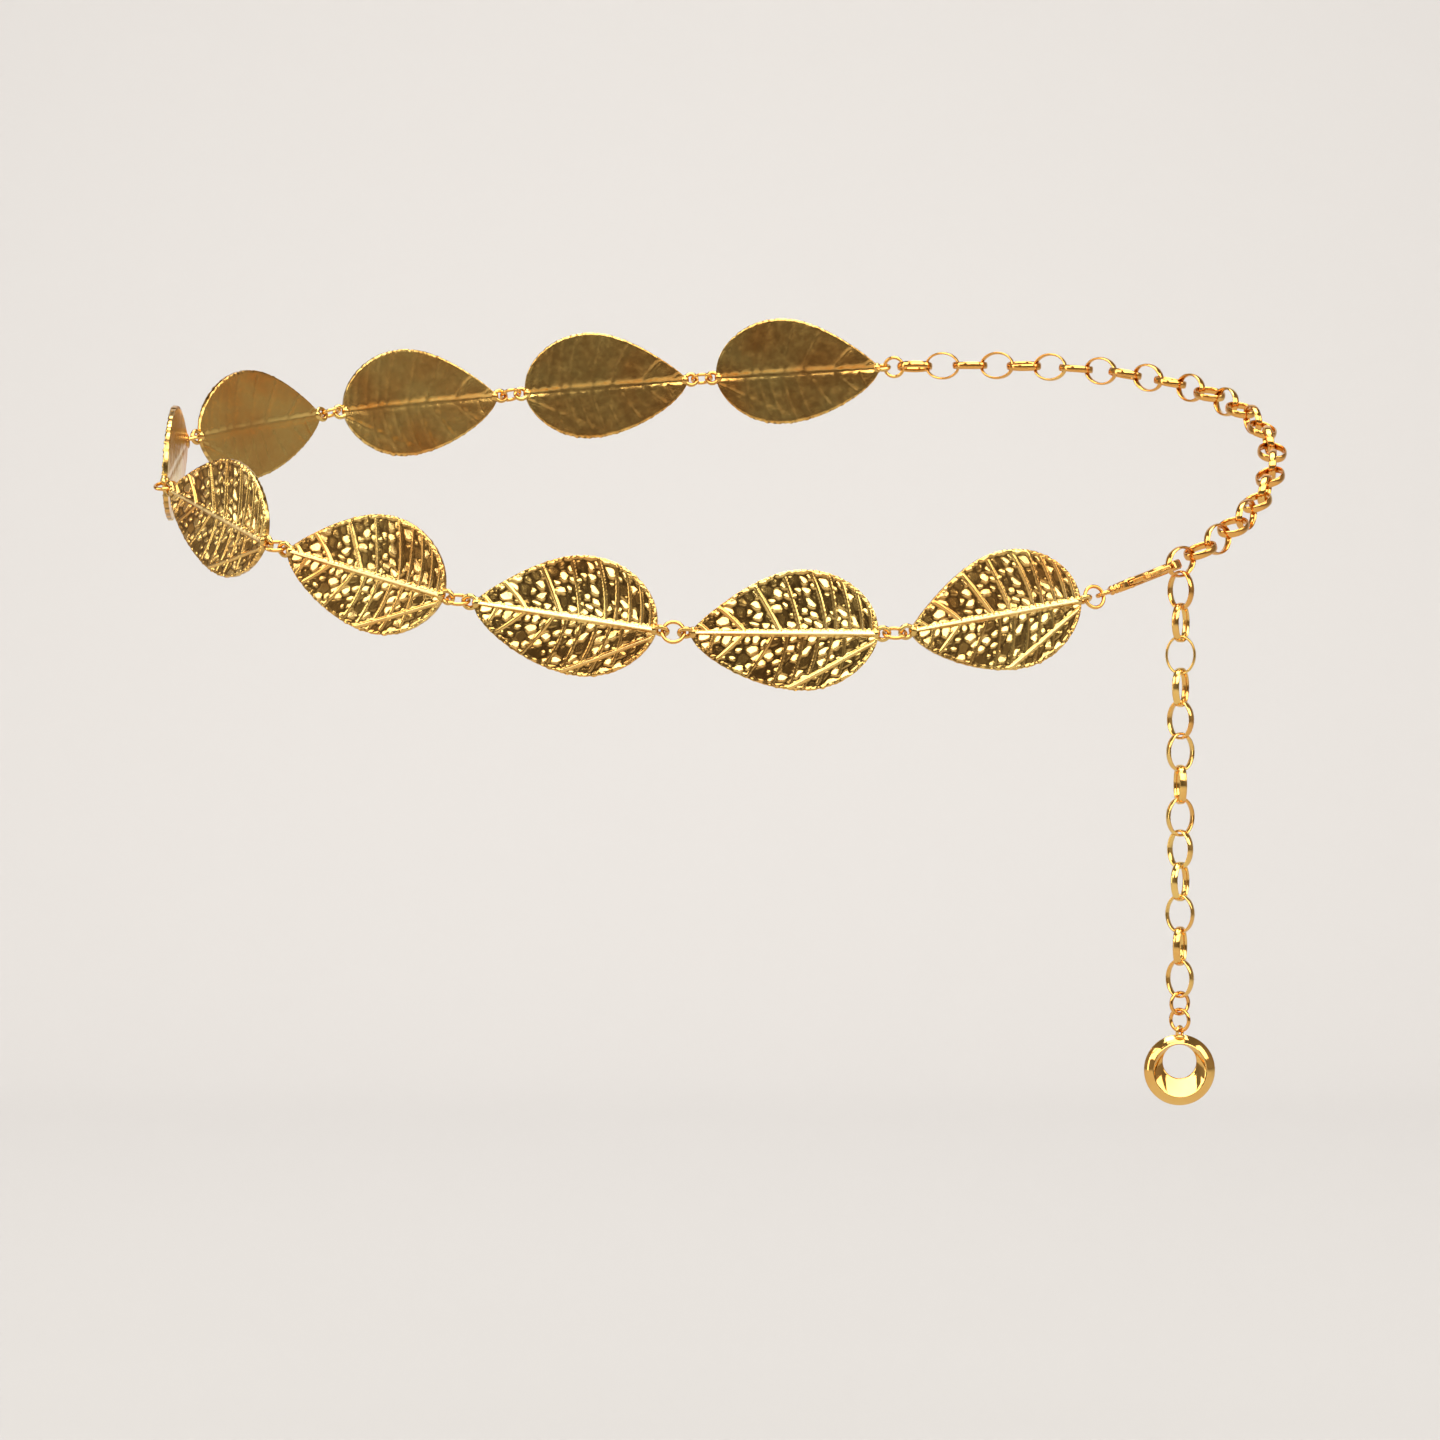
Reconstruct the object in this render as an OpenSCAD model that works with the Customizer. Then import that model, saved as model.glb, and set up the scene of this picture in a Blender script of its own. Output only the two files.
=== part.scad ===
// Waist chain of ten cast leaves, a lobster clasp, an oval-link chain and a hanging tail with a drop.
// Millimetres, +Z up. The front of the loop faces -Y and the origin is the middle of its opening.

/* [Loop] */
// Width of the loop from hip to hip
loop_w = 320; // [260:1:400]
// Depth of the loop from front to back
loop_d = 218; // [170:1:290]
// How much higher the back lies than the front
back_rise = 76.7; // [0:0.1:120]
// How far both sides lift above the straight slope
side_lift = 12.2; // [0:0.1:25]
// How much more the +X side lifts than the -X side
right_lift = 1.6; // [-6:0.1:6]
// How far the low point shifts from the front towards +X
low_shift = 5.2; // [-10:0.1:10]
// Angle round the loop of the first leaf's round end, from the front
start_angle = 39.5; // [30:0.1:48]

/* [Leaves] */
// Number of leaves
leaf_count = 10; // [6:1:10]
// Length of a leaf from tip to base
leaf_len = 50.5; // [35:0.1:58]
// Widest part of a leaf
leaf_w = 32.4; // [20:0.1:45]
// Thickness of the flat plate
leaf_thick = 1.3; // [0.9:0.1:2.5]
// Height of the rim above the plate
rim_raise = 0.35; // [0.1:0.05:1.2]
// Width of the rim
rim_w = 0.9; // [0.5:0.1:2]
// Height of the midrib above the plate
rib_raise = 0.8; // [0.3:0.1:1.5]
// Width of the midrib at the leaf's base
rib_w = 2.1; // [1:0.1:3.5]
// Height of the side veins above the plate
vein_raise = 0.5; // [0.2:0.05:1.2]
// Width of a side vein
vein_w = 0.8; // [0.5:0.05:1.6]
// Lean of each leaf, bottom edge outwards
leaf_lean = 2.5; // [0:0.5:8]

/* [Eyes and rings] */
// Wire of a leaf's cast eye
eye_wire = 1.1; // [0.8:0.05:1.3]
// Hole through a leaf's eye
eye_hole = 2.15; // [1.9:0.05:2.8]
// Wire of a joint ring
ring_wire = 1.05; // [0.7:0.05:1.1]
// Outside diameter of a joint ring
ring_d = 6.9; // [6:0.1:9]
// Play left between two pieces that pull on each other
play = 0.17; // [0.12:0.01:0.3]

/* [Chain] */
// Outside length of an oval link
link_len = 11; // [9.5:0.1:14]
// Outside width of an oval link
link_w = 8.5; // [7.8:0.1:11]
// Radial thickness of the link's band
band_t = 0.8; // [0.6:0.05:1.1]
// Width of the link's flattened band
band_w = 2.1; // [1.2:0.1:2.4]
// Links in the hanging tail
tail_links = 13; // [5:1:18]

/* [Clasp] */
// Distance from the clasp's eye to the inside of its hook
clasp_reach = 25.4; // [22:0.1:30]
// Width of the clasp across the hook
clasp_w = 10.6; // [9.6:0.1:12.5]
// Thickness of the clasp
clasp_t = 2.8; // [2.6:0.1:4]
// Turn of the clasp about its own run
clasp_turn = -14; // [-30:1:30]
// Wall of the hook
hook_wall = 1.8; // [1.4:0.1:2.2]
// Diameter of the lever's pin
pin_d = 1.1; // [0.9:0.05:1.3]
// Radial clearance of the lever on its pin
pin_clear = 0.05; // [0.02:0.01:0.1]
// Thickness of the lever
lever_t = 1.4; // [1:0.1:1.6]
// Side clearance of the lever in its slot
lever_clear = 0.15; // [0.1:0.05:0.25]

/* [Drop] */
// Outside diameter of the round drop
drop_d = 19.6; // [14:0.1:26]
// Diameter of the drop's off-centre hole
drop_hole = 9.3; // [6:0.1:11]
// How far the hole sits above the drop's centre
drop_hole_up = 2.3; // [0:0.1:2.4]
// Diameter of the crest between bevel and funnel
crest_d = 14.8; // [14.5:0.1:16]
// Thickness of the drop at its crest
drop_t = 3.2; // [2.4:0.1:4.5]

/* [Hidden] */
$fn = 48;

gold = [0.86, 0.66, 0.27];
deep_gold = [0.74, 0.54, 0.2];

// Turn of each joint ring about the run of the chain, 0 edge-on from outside and 90 flat to the leaf.
// The first entry is the ring at the clasp, then one ring for the tip of each leaf.
ring_turns = [78, 25, 66, 22, 18, 12, 10, 22, 30, 24];
// Turn of each hanging link about its own length, from the top
tail_turns = [-46, 62, -10, 64, -44, 28, 98, 26, -48, 60, -30, 70, -38];
// Turn of the two round rings at the foot of the tail
foot_turns = [32, -38];

// Route: a tilted oval. Angle 0 is the front middle, positive towards +X.
function route(a) = [
    loop_w / 2 * sin(a),
    -loop_d / 2 * cos(a),
    -back_rise / 2 * cos(a) + side_lift * sin(a) * sin(a) + right_lift * sin(a) - low_shift * sin(2 * a)];

// Length along the route, as a table of angle and distance in both directions
route_step = 2;
route_steps = 360 / route_step;
angle_to_run = [for (i = 0, run = 0; i <= route_steps;
    run = run + norm(route((i + 1) * route_step) - route(i * route_step)), i = i + 1) [i * route_step, run]];
run_to_angle = [for (row = angle_to_run) [row[1], row[0]]];
loop_run = angle_to_run[route_steps][1];
function wrap(run) = run - loop_run * floor(run / loop_run);
function spot(run) = route(lookup(wrap(run), run_to_angle));

// The run reached by a straight stride of the given length, forward (way 1) or back (way -1)
function stride(run, len, way, low = 1, high = 1.3, left = 24) =
    let (mid = (low + high) / 2)
    left == 0 ? run + way * len * mid
    : norm(spot(run + way * len * mid) - spot(run)) < len ? stride(run, len, way, mid, high, left - 1)
    : stride(run, len, way, low, mid, left - 1);

// How far the inside of a curve of radius r comes in at half width w
function sag(r, w) = r - sqrt(max(r * r - w * w, 0));

// Eyes and rings, by the radius of their wire's middle
eye_r = (eye_hole + eye_wire) / 2;
ring_r = (ring_d - ring_wire) / 2;
eye_out = eye_hole / 2 + 0.1;
leaf_span = leaf_len + 2 * eye_out;
// Pieces pull on each other at the middle of the eye's outer wire, this far from a ring's middle
leaf_stride = leaf_span + 2 * eye_r;
ring_pull = ring_r - (ring_wire + eye_wire) / 2 - play;

// Clasp eye, and the same distance for it
clasp_eye_wire = 1.3;
clasp_eye_hole = 2.2;
clasp_eye_r = (clasp_eye_hole + clasp_eye_wire) / 2;
clasp_ring_pull = ring_r - (ring_wire + clasp_eye_wire) / 2 - play;

// Oval links: half length inside the band, the inner curve's radius at the ends, and the pull between links
link_in = link_len / 2 - band_t;
link_half = link_w / 2 - band_t;
link_curve = link_half * link_half / link_in;
flat_w = band_w * 0.3;
bite = band_w * 0.42;
link_loss = 2 * sag(link_curve, bite) + play;
pitch_most = 2 * link_in - link_loss;

// Runs of every joint. Leaves go back from the start, the clasp and the chain go forward from it.
start_run = lookup(start_angle, angle_to_run);
base_runs = [for (k = 0, run = start_run; k < leaf_count;
    run = stride(stride(run, leaf_stride, -1), 2 * ring_pull, -1), k = k + 1) run];
tip_runs = [for (run = base_runs) stride(run, leaf_stride, -1)];
clasp_run = stride(start_run, ring_pull + clasp_ring_pull, 1);
// The clasp's turn brings the link's band closer to the hook, so it gets more play
hook_loss = sag(link_curve, clasp_t * 0.55) + sag(clasp_w / 2 - hook_wall, bite) + play * 1.4;
hook_run = stride(clasp_run, clasp_eye_r + clasp_reach - hook_loss + link_loss / 2, 1);
ring_inside = ring_r - ring_wire / 2 - sag(ring_r - ring_wire / 2, bite * 0.6) - play;
end_gap = ring_inside + ring_pull;
last_tip_run = tip_runs[leaf_count - 1] + loop_run;
chain_end_run = stride(last_tip_run, end_gap, -1);
chain_run = chain_end_run - hook_run;
link_count = max(3, ceil(chain_run / pitch_most));
pitch = chain_run / link_count;

// Sets its children on the line from one point to another: X along the line, Z up, -Y outwards
module along(from, to, turn = 0) {
    d = to - from;
    translate(from) rotate([turn, -asin(d[2] / norm(d)), atan2(d[1], d[0])]) children();
}

// Leaf outline: half width as a share of the widest, at a share t of the length from the tip
tip_power = 1.357;
function half_share(t, tip_full, base_full) =
    let (m = pow(t, tip_power))
    pow(max(sin(180 * m), 0), m < 0.5 ? tip_full : base_full);
function upper_share(t) = half_share(t, 0.61, 0.45);
function lower_share(t) = half_share(t, 0.43, 0.55);
upper_w = leaf_w * 0.525;
lower_w = leaf_w * 0.475;
leaf_steps = 16;
function leaf_t(i) = (1 - cos(180 * i / leaf_steps)) / 2;
function leaf_outline(inset) =
    let (len = leaf_len - 2 * inset)
    concat(
        [for (i = [0:leaf_steps]) let (t = leaf_t(i)) [inset + len * t, (upper_w - inset) * upper_share(t)]],
        [for (i = [leaf_steps - 1:-1:1]) let (t = leaf_t(i)) [inset + len * t, -(lower_w - inset) * lower_share(t)]]);

// Side veins of one half, a row each: where it leaves the midrib and where it ends, both as shares of the
// length from the tip, the share of the way to the rim that it reaches, and its bow towards the base
upper_veins = [
    [0.09, 0.045, 1, 0.2], [0.285, 0.15, 1, 0.9], [0.476, 0.335, 1, 0.5], [0.585, 0.49, 1, 0.7],
    [0.722, 0.635, 1, 1.6], [0.775, 0.735, 0.97, 0.9], [0.85, 0.8, 0.97, 1.1], [0.915, 0.875, 0.97, 1]];
lower_veins = [
    [0.13, 0.085, 1, 0.3], [0.284, 0.133, 1, 0.4], [0.44, 0.296, 1, 0.6], [0.512, 0.43, 1, 1.6],
    [0.598, 0.52, 1, 1.2], [0.68, 0.6, 0.96, 1.4], [0.75, 0.675, 0.92, 1.2], [0.818, 0.79, 0.86, 0.9]];
// One long vein slants across the lower half: shares of the length, and of the lower half's width
slant_vein = [[0.975, 0.156], [0.815, 0.442], [0.646, 0.741], [0.52, 0.955]];
vein_steps = 5;
function vein_mid(row, far_y, s) =
    let (x0 = leaf_len * row[0], x1 = leaf_len * row[1], y1 = far_y * row[2], x2 = (x0 + x1) / 2 + row[3])
    [(1 - s) * (1 - s) * x0 + 2 * s * (1 - s) * x2 + s * s * x1, y1 * s];
module vein(row, far_y) {
    mids = [for (i = [0:vein_steps]) vein_mid(row, far_y, i / vein_steps)];
    polygon(concat([for (m = mids) m + [-vein_w / 2, 0]],
        [for (i = [vein_steps:-1:0]) mids[i] + [vein_w / 2 - vein_w * 0.3 * i / vein_steps, 0]]));
}
module veins() {
    for (row = upper_veins) vein(row, upper_w * upper_share(row[1]));
    for (row = lower_veins) vein(row, -lower_w * lower_share(row[1]));
    polygon(concat([for (p = slant_vein) [leaf_len * p[0], -lower_w * p[1] + vein_w * 0.6]],
        [for (i = [len(slant_vein) - 1:-1:0]) [leaf_len * slant_vein[i][0], -lower_w * slant_vein[i][1] - vein_w * 0.6]]));
}

// Upright slab of a flat outline, from the back of the plate out to a height above its front
module slab(height) {
    translate([0, leaf_thick / 2, 0]) rotate([90, 0, 0]) linear_extrude(height) children();
}

// An eye: a round wire ring, its hole facing outwards and turned about the run of the chain
module eye(r, wire, turn) {
    rotate([90 + turn, 0, 0]) rotate_extrude() translate([r, 0]) circle(d = wire);
}

// One leaf, its tip's eye at the origin and its base's eye at leaf_span
module leaf(tip_turn, base_turn) {
    color(gold) union() {
        translate([eye_out, 0, 0]) {
            slab(leaf_thick) polygon(leaf_outline(0));
            slab(leaf_thick + rim_raise) difference() {
                polygon(leaf_outline(0.05));
                polygon(leaf_outline(rim_w));
            }
            slab(leaf_thick + vein_raise) intersection() {
                polygon(leaf_outline(rim_w / 2));
                veins();
            }
            slab(leaf_thick + rib_raise) polygon([
                [0.6, -rib_w * 0.3], [leaf_len - 0.4, -rib_w / 2],
                [leaf_len - 0.4, rib_w / 2], [0.6, rib_w * 0.3]]);
        }
        eye(eye_r, eye_wire, tip_turn);
        translate([leaf_span, 0, 0]) eye(eye_r, eye_wire, base_turn);
    }
}

// Turn of the ring at joint k: the last one stands across the chain's last link
function joint_turn(k) = k == leaf_count ? belt_turn(link_count - 1) + 72 : ring_turns[k];
// An eye turns with its ring, but less
eye_follow = 0.85;
module leaf_at(k) {
    if (k < leaf_count)
        along(spot(tip_runs[k]), spot(base_runs[k]), -leaf_lean) translate([eye_r, 0, 0])
            leaf(joint_turn(k + 1) * eye_follow, joint_turn(k) * eye_follow);
}

// Joint ring, its run along X
module joint_ring() {
    color(gold) rotate_extrude() translate([ring_r, 0]) circle(d = ring_wire);
}

// Ring k joins the tip of leaf k to the base of the next leaf, and the last one joins the chain
module ring_at(k) {
    if (k < leaf_count)
        along(spot(base_runs[k]), spot(tip_runs[k - 1]), ring_turns[k])
            translate([ring_pull, 0, 0]) joint_ring();
}
module last_ring() {
    along(spot(chain_end_run), spot(last_tip_run), joint_turn(leaf_count))
        translate([ring_inside, 0, 0]) joint_ring();
}

// Six-sided flattened band swept round an oval, its long way along X and flat in the XY plane
link_sides = 16;
band_section = [
    [band_t / 2, -flat_w / 2], [band_t / 2, flat_w / 2], [0, band_w / 2],
    [-band_t / 2, flat_w / 2], [-band_t / 2, -flat_w / 2], [0, -band_w / 2]];
link_points = [for (i = [0:link_sides - 1]) let (
    a = 360 * i / link_sides, lx = (link_len - band_t) / 2, ly = (link_w - band_t) / 2,
    out = [ly * cos(a), lx * sin(a)] / norm([ly * cos(a), lx * sin(a)]))
    each [for (p = band_section) [lx * cos(a) + p[0] * out[0], ly * sin(a) + p[0] * out[1], p[1]]]];
section_n = len(band_section);
link_faces = [for (i = [0:link_sides - 1], j = [0:section_n - 1]) let (
    a = i * section_n, b = ((i + 1) % link_sides) * section_n, n = (j + 1) % section_n)
    each [[a + j, a + n, b + n], [a + j, b + n, b + j]]];
module oval_link() {
    polyhedron(link_points, link_faces);
}

// Link i of the belt: the first stands on edge to the hook, the rest turn by turn
function belt_turn(i) = 90 * ((i + 1) % 2) + (i > 1 ? 9 * sin(137 * i) : 0);
module belt_chain() {
    color(deep_gold) for (i = [0:link_count - 1]) {
        from = hook_run + i * pitch;
        along(spot(from), spot(from + pitch), belt_turn(i)) translate([pitch / 2, 0, 0]) oval_link();
    }
}

// The tail hangs straight down from the low side of the first belt link
first_mid = (spot(hook_run) + spot(hook_run + pitch)) / 2;
tail_pitch = pitch_most;
tail_top = first_mid - [0, 0, link_half - sag(link_curve, bite) - play];
function tail_link_z(i) = tail_top[2] - link_in - i * tail_pitch;
tail_foot_z = tail_link_z(tail_links - 1) - link_in + play + sag(ring_r - ring_wire / 2, bite * 0.6);
foot_ring_z = [for (i = [0, 1])
    tail_foot_z - (ring_r - ring_wire / 2) - i * (2 * ring_r - ring_wire - play)];
module at_tail(z) {
    translate([tail_top[0], tail_top[1], z]) children();
}
module tail_chain() {
    color(gold) for (i = [0:tail_links - 1])
        at_tail(tail_link_z(i)) rotate([0, 0, tail_turns[i % len(tail_turns)]])
            rotate([90, 0, 0]) rotate([0, 0, 90]) oval_link();
}
module foot_ring(i) {
    color(gold) at_tail(foot_ring_z[i]) rotate([0, 0, foot_turns[i]])
        rotate([90, 0, 0]) rotate_extrude() translate([ring_r, 0]) circle(d = ring_wire);
}

// Round drop on the lower ring: its eye hangs on the ring's wire, whose middle is the swing axis
swing_z = foot_ring_z[1] - ring_r;
drop_eye_wire = 0.9;
drop_eye_hole = ring_wire + 0.75;
drop_eye_r = (drop_eye_hole + drop_eye_wire) / 2;
drop_eye_z = -(drop_eye_hole - ring_wire) / 2 + play;
drop_gap = 0.55;
drop_r = drop_d / 2;
drop_z = -ring_wire / 2 - drop_gap - drop_r;
edge_t = drop_t * 0.28;
floor_t = drop_t * 0.34;
// The drop's centre of mass lies this share of its thickness in front of its flat back
drop_balance = 0.383;
module round_drop() {
    color(gold) at_tail(swing_z) union() {
        rotate([0, 0, foot_turns[1] + 90]) translate([0, 0, drop_eye_z])
            rotate([90, 0, 0]) rotate_extrude() translate([drop_eye_r, 0]) circle(d = drop_eye_wire);
        translate([0, drop_t * drop_balance, drop_z]) rotate([90, 0, 0]) difference() {
            rotate_extrude() polygon([[0, 0], [drop_r - 0.35, 0], [drop_r, 0.3], [drop_r, edge_t],
                [drop_r - 0.3, edge_t + 0.45], [crest_d / 2, drop_t], [0, drop_t]]);
            translate([0, drop_hole_up, -1]) cylinder(d = drop_hole, h = drop_t + 2);
            hull() {
                translate([0, drop_hole_up, floor_t]) cylinder(d = drop_hole, h = 0.01);
                translate([0, 0, drop_t + 0.4]) cylinder(d = crest_d, h = 0.01);
            }
        }
        // Saddle that carries the eye on the drop's top edge
        translate([0, drop_t * (drop_balance - 0.5), drop_z + drop_r - 0.55])
            scale([1, 1, 0.5]) sphere(d = 2.9);
    }
}

// Lobster clasp, flat in its own XY plane: the eye at the origin, the hook's end along +X, the lever at -Y
nose_r = clasp_w / 2;
nose_x = clasp_reach + hook_wall - nose_r;
root_r = 3.1;
root_x = 8.4;
bead_x = 2.9;
pivot = [root_x + 0.4, -root_r + 1.5];
lever_boss = 1.55;
mouth_r = nose_r - hook_wall;
gate_end = nose_x - 0.4;
gate_start = pivot[0] + 1.2;

// Outline round two circles on the X axis, with its arcs in steps
function round_pair(x1, r1, x2, r2, steps = 12) =
    let (edge = acos((r1 - r2) / (x2 - x1)))
    concat([for (i = [0:steps]) let (a = edge + (360 - 2 * edge) * i / steps) [x1 + r1 * cos(a), r1 * sin(a)]],
        [for (i = [0:steps]) let (a = -edge + 2 * edge * i / steps) [x2 + r2 * cos(a), r2 * sin(a)]]);
module clasp_plan() {
    polygon(round_pair(root_x, root_r, nose_x, nose_r));
}
mouth_back = pivot[0] + lever_boss + 1.7;
module mouth_plan() {
    polygon(round_pair(mouth_back, 1.5, nose_x, mouth_r));
}
module gate_gap(extra) {
    translate([gate_start - extra, -clasp_w])
        square([gate_end - gate_start + 2 * extra, clasp_w + extra]);
}
module thick(t) {
    translate([0, 0, -t / 2]) linear_extrude(t) children();
}
neck_r = 0.85;
bead_wire = 1.2;
module neck_bead(i) {
    translate([bead_x + i * bead_wire, 0, 0]) rotate([0, 90, 0])
        rotate_extrude() translate([neck_r - 0.1, 0]) circle(d = bead_wire);
}
module clasp_frame() {
    color(gold) union() {
        rotate_extrude() translate([clasp_eye_r, 0]) circle(d = clasp_eye_wire);
        translate([clasp_eye_r, 0, 0]) rotate([0, 90, 0])
            cylinder(r = neck_r, h = root_x - root_r + 0.8 - clasp_eye_r);
        for (i = [0:1]) neck_bead(i);
        difference() {
            thick(clasp_t) clasp_plan();
            thick(clasp_t + 1) mouth_plan();
            thick(clasp_t + 1) gate_gap(lever_clear);
            // Slot that takes the lever's boss and its thumb tab
            thick(lever_t + 2 * lever_clear) translate(pivot) circle(r = lever_boss + lever_clear);
            thick(lever_t + 2 * lever_clear)
                translate([pivot[0] - lever_boss - lever_clear, -clasp_w])
                    square([gate_end - pivot[0], clasp_w + pivot[1]]);
        }
        translate([pivot[0], pivot[1], -clasp_t / 2]) cylinder(d = pin_d, h = clasp_t);
    }
}
module clasp_gate() {
    color(deep_gold) difference() {
        union() {
            thick(lever_t) translate(pivot) circle(r = lever_boss);
            intersection() {
                difference() {
                    thick(lever_t) clasp_plan();
                    thick(lever_t + 1) mouth_plan();
                    // Keeps the inner corner inside the boss's sweep
                    thick(lever_t + 1) translate(pivot + [0, 0.3]) square(lever_boss + 2);
                }
                thick(lever_t + 1) gate_gap(0);
                // Rounds the gate's end about its pin, so that it swings clear of the hook
                thick(lever_t + 1) translate(pivot) circle(r = gate_end - pivot[0]);
            }
            thick(lever_t) polygon([pivot + [0, 0], pivot + [2.4, -1], [pivot[0] + 3, -nose_r - 1.2],
                [pivot[0] + 1, -nose_r - 1.6], pivot + [-0.5, -lever_boss + 0.2]]);
            // Broad thumb pad at the tab's end
            thick(clasp_t * 0.8) polygon([[pivot[0] + 1.1, -nose_r - 0.4], [pivot[0] + 2.9, -nose_r],
                [pivot[0] + 3.2, -nose_r - 1.4], [pivot[0] + 0.9, -nose_r - 1.8]]);
        }
        translate([pivot[0], pivot[1], -clasp_t]) cylinder(d = pin_d + 2 * pin_clear, h = 2 * clasp_t);
    }
}
module at_clasp() {
    along(spot(clasp_run), spot(hook_run), clasp_turn) translate([clasp_eye_r, 0, 0]) children();
}

leaf_at(0);  // leaf_1
leaf_at(1);  // leaf_2
leaf_at(2);  // leaf_3
leaf_at(3);  // leaf_4
leaf_at(4);  // leaf_5
leaf_at(5);  // leaf_6
leaf_at(6);  // leaf_7
leaf_at(7);  // leaf_8
leaf_at(8);  // leaf_9
leaf_at(9);  // leaf_10
ring_at(1);  // ring_1
ring_at(2);  // ring_2
ring_at(3);  // ring_3
ring_at(4);  // ring_4
ring_at(5);  // ring_5
ring_at(6);  // ring_6
ring_at(7);  // ring_7
ring_at(8);  // ring_8
ring_at(9);  // ring_9
last_ring();  // ring_10
along(spot(start_run), spot(clasp_run), ring_turns[0]) translate([ring_pull, 0, 0]) joint_ring();  // clasp_ring
at_clasp() clasp_frame();  // clasp_body
at_clasp() clasp_gate();  // clasp_lever
belt_chain();
tail_chain();
foot_ring(0);  // tail_ring_upper
foot_ring(1);  // tail_ring_lower
round_drop();
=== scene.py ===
import math

import bmesh
import bpy
import numpy as np
from mathutils import Matrix, Vector, kdtree, noise


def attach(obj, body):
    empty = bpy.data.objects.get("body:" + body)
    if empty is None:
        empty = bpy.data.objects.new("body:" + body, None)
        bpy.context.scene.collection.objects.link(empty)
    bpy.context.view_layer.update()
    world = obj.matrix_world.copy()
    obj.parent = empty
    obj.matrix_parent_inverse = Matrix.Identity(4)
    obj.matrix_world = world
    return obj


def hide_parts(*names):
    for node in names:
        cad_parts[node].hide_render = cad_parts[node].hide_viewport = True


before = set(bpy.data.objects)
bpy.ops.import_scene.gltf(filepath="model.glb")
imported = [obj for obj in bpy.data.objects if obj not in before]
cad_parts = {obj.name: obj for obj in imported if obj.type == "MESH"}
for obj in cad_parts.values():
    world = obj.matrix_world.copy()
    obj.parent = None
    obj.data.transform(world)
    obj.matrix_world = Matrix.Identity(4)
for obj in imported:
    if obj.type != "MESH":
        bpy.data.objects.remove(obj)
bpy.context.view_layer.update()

mm = 0.001

# The loop that the chain follows, in millimetres and degrees, as the part's source has it
loop = {
    "wide": 320, "deep": 218, "backRise": 76.7, "sideLift": 12.2, "rightLift": 1.6, "lowShift": 5.2,
    "startAngle": 39.5, "tableStep": 2,
}


def loopPoint(angle):
    a = math.radians(angle)
    return Vector((
        loop["wide"] / 2 * math.sin(a),
        -loop["deep"] / 2 * math.cos(a),
        -loop["backRise"] / 2 * math.cos(a) + loop["sideLift"] * math.sin(a) ** 2
        + loop["rightLift"] * math.sin(a) - loop["lowShift"] * math.sin(2 * a)))


loopTable = [(0.0, 0.0)]
for stepIndex in range(1, 360 // loop["tableStep"] + 1):
    lastAngle = (stepIndex - 1) * loop["tableStep"]
    thisAngle = stepIndex * loop["tableStep"]
    reach = (loopPoint(thisAngle) - loopPoint(lastAngle)).length
    loopTable.append((float(thisAngle), loopTable[-1][1] + reach))
loopRun = loopTable[-1][1]


def readTable(value, fromColumn, toColumn):
    for low, high in zip(loopTable, loopTable[1:]):
        if value <= high[fromColumn]:
            share = (value - low[fromColumn]) / (high[fromColumn] - low[fromColumn])
            return low[toColumn] + share * (high[toColumn] - low[toColumn])
    return loopTable[-1][toColumn]


def spotAt(run):
    return loopPoint(readTable(run % loopRun, 1, 0))


def strideFrom(run, length, way):
    low, high = 1.0, 1.3
    for _ in range(24):
        middle = (low + high) / 2
        if (spotAt(run + way * length * middle) - spotAt(run)).length < length:
            low = middle
        else:
            high = middle
    return run + way * length * (low + high) / 2


def turned(degrees, axis):
    return Matrix.Rotation(math.radians(degrees), 4, axis)


def alongLine(start, end, turn):
    # Matrix that lays X along the line, Z up and -Y outwards
    d = end - start
    return (Matrix.Translation(start)
            @ Matrix.Rotation(math.atan2(d.y, d.x), 4, "Z")
            @ Matrix.Rotation(-math.asin(d.z / d.length), 4, "Y")
            @ turned(turn, "X"))


def smoothStep(value):
    v = min(1.0, max(0.0, value))
    return v * v * (3 - 2 * v)


def scatter(a, b, c):
    # A repeatable number from 0 to 1 for a place and a purpose
    v = math.sin(a * 12.9898 + b * 78.233 + c * 37.719) * 43758.5453
    return v - math.floor(v)


# Each pattern of noise on the cast leaf has a layer of its own
layers = {
    "bendX": 3.1, "bendY": 9.7, "ripple": 21.0, "bead": 40.0, "nick": 55.0, "wave": 70.0, "fineWave": 80.0,
    "teeth": 5.0, "fineTeeth": 8.0, "upperLump": 11.0, "lowerLump": 17.0, "rubbed": 31.0,
    "upperLip": 61.0, "lowerLip": 67.0,
}


def skinNoise(x, y, grain, layer):
    return noise.noise(Vector((x * grain, y * grain, layers[layer])))


def edgeNoise(x, grain, layer):
    return noise.noise(Vector((x * grain, layers[layer], 0)))


def addObject(name, data):
    thing = bpy.data.objects.new(name, data)
    bpy.context.scene.collection.objects.link(thing)
    return thing


def makePiece(name, points, faces, finish, body, nodes, tones=None):
    # Tones say how worn each point of a cast piece is, and on the cast leaf also carry painted highlights and
    # painted shade
    mesh = bpy.data.meshes.new(name)
    mesh.from_pydata([p * mm for p in points], [], faces)
    mesh.polygons.foreach_set("use_smooth", [True] * len(mesh.polygons))
    if tones is not None:
        layer = mesh.color_attributes.new("relief", "FLOAT_COLOR", "POINT")
        layer.data.foreach_set("color", [c for tone in tones for c in (tone, tone, tone, 1.0)])
    mesh.materials.append(golds[finish])
    piece = addObject(name, mesh)
    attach(piece, body)
    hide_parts(*nodes)


def sweepLoop(centre, section, count):
    # centre(share) gives a point, the outward way and the side way; the section is (outward, side) pairs
    points, faces = [], []
    size = len(section)
    for i in range(count):
        place, out, side = centre(i / count)
        points += [place + out * u + side * v for u, v in section]
        a, b = i * size, ((i + 1) % count) * size
        for j in range(size):
            n = (j + 1) % size
            faces.append((a + j, a + n, b + n, b + j))
    return points, faces


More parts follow.
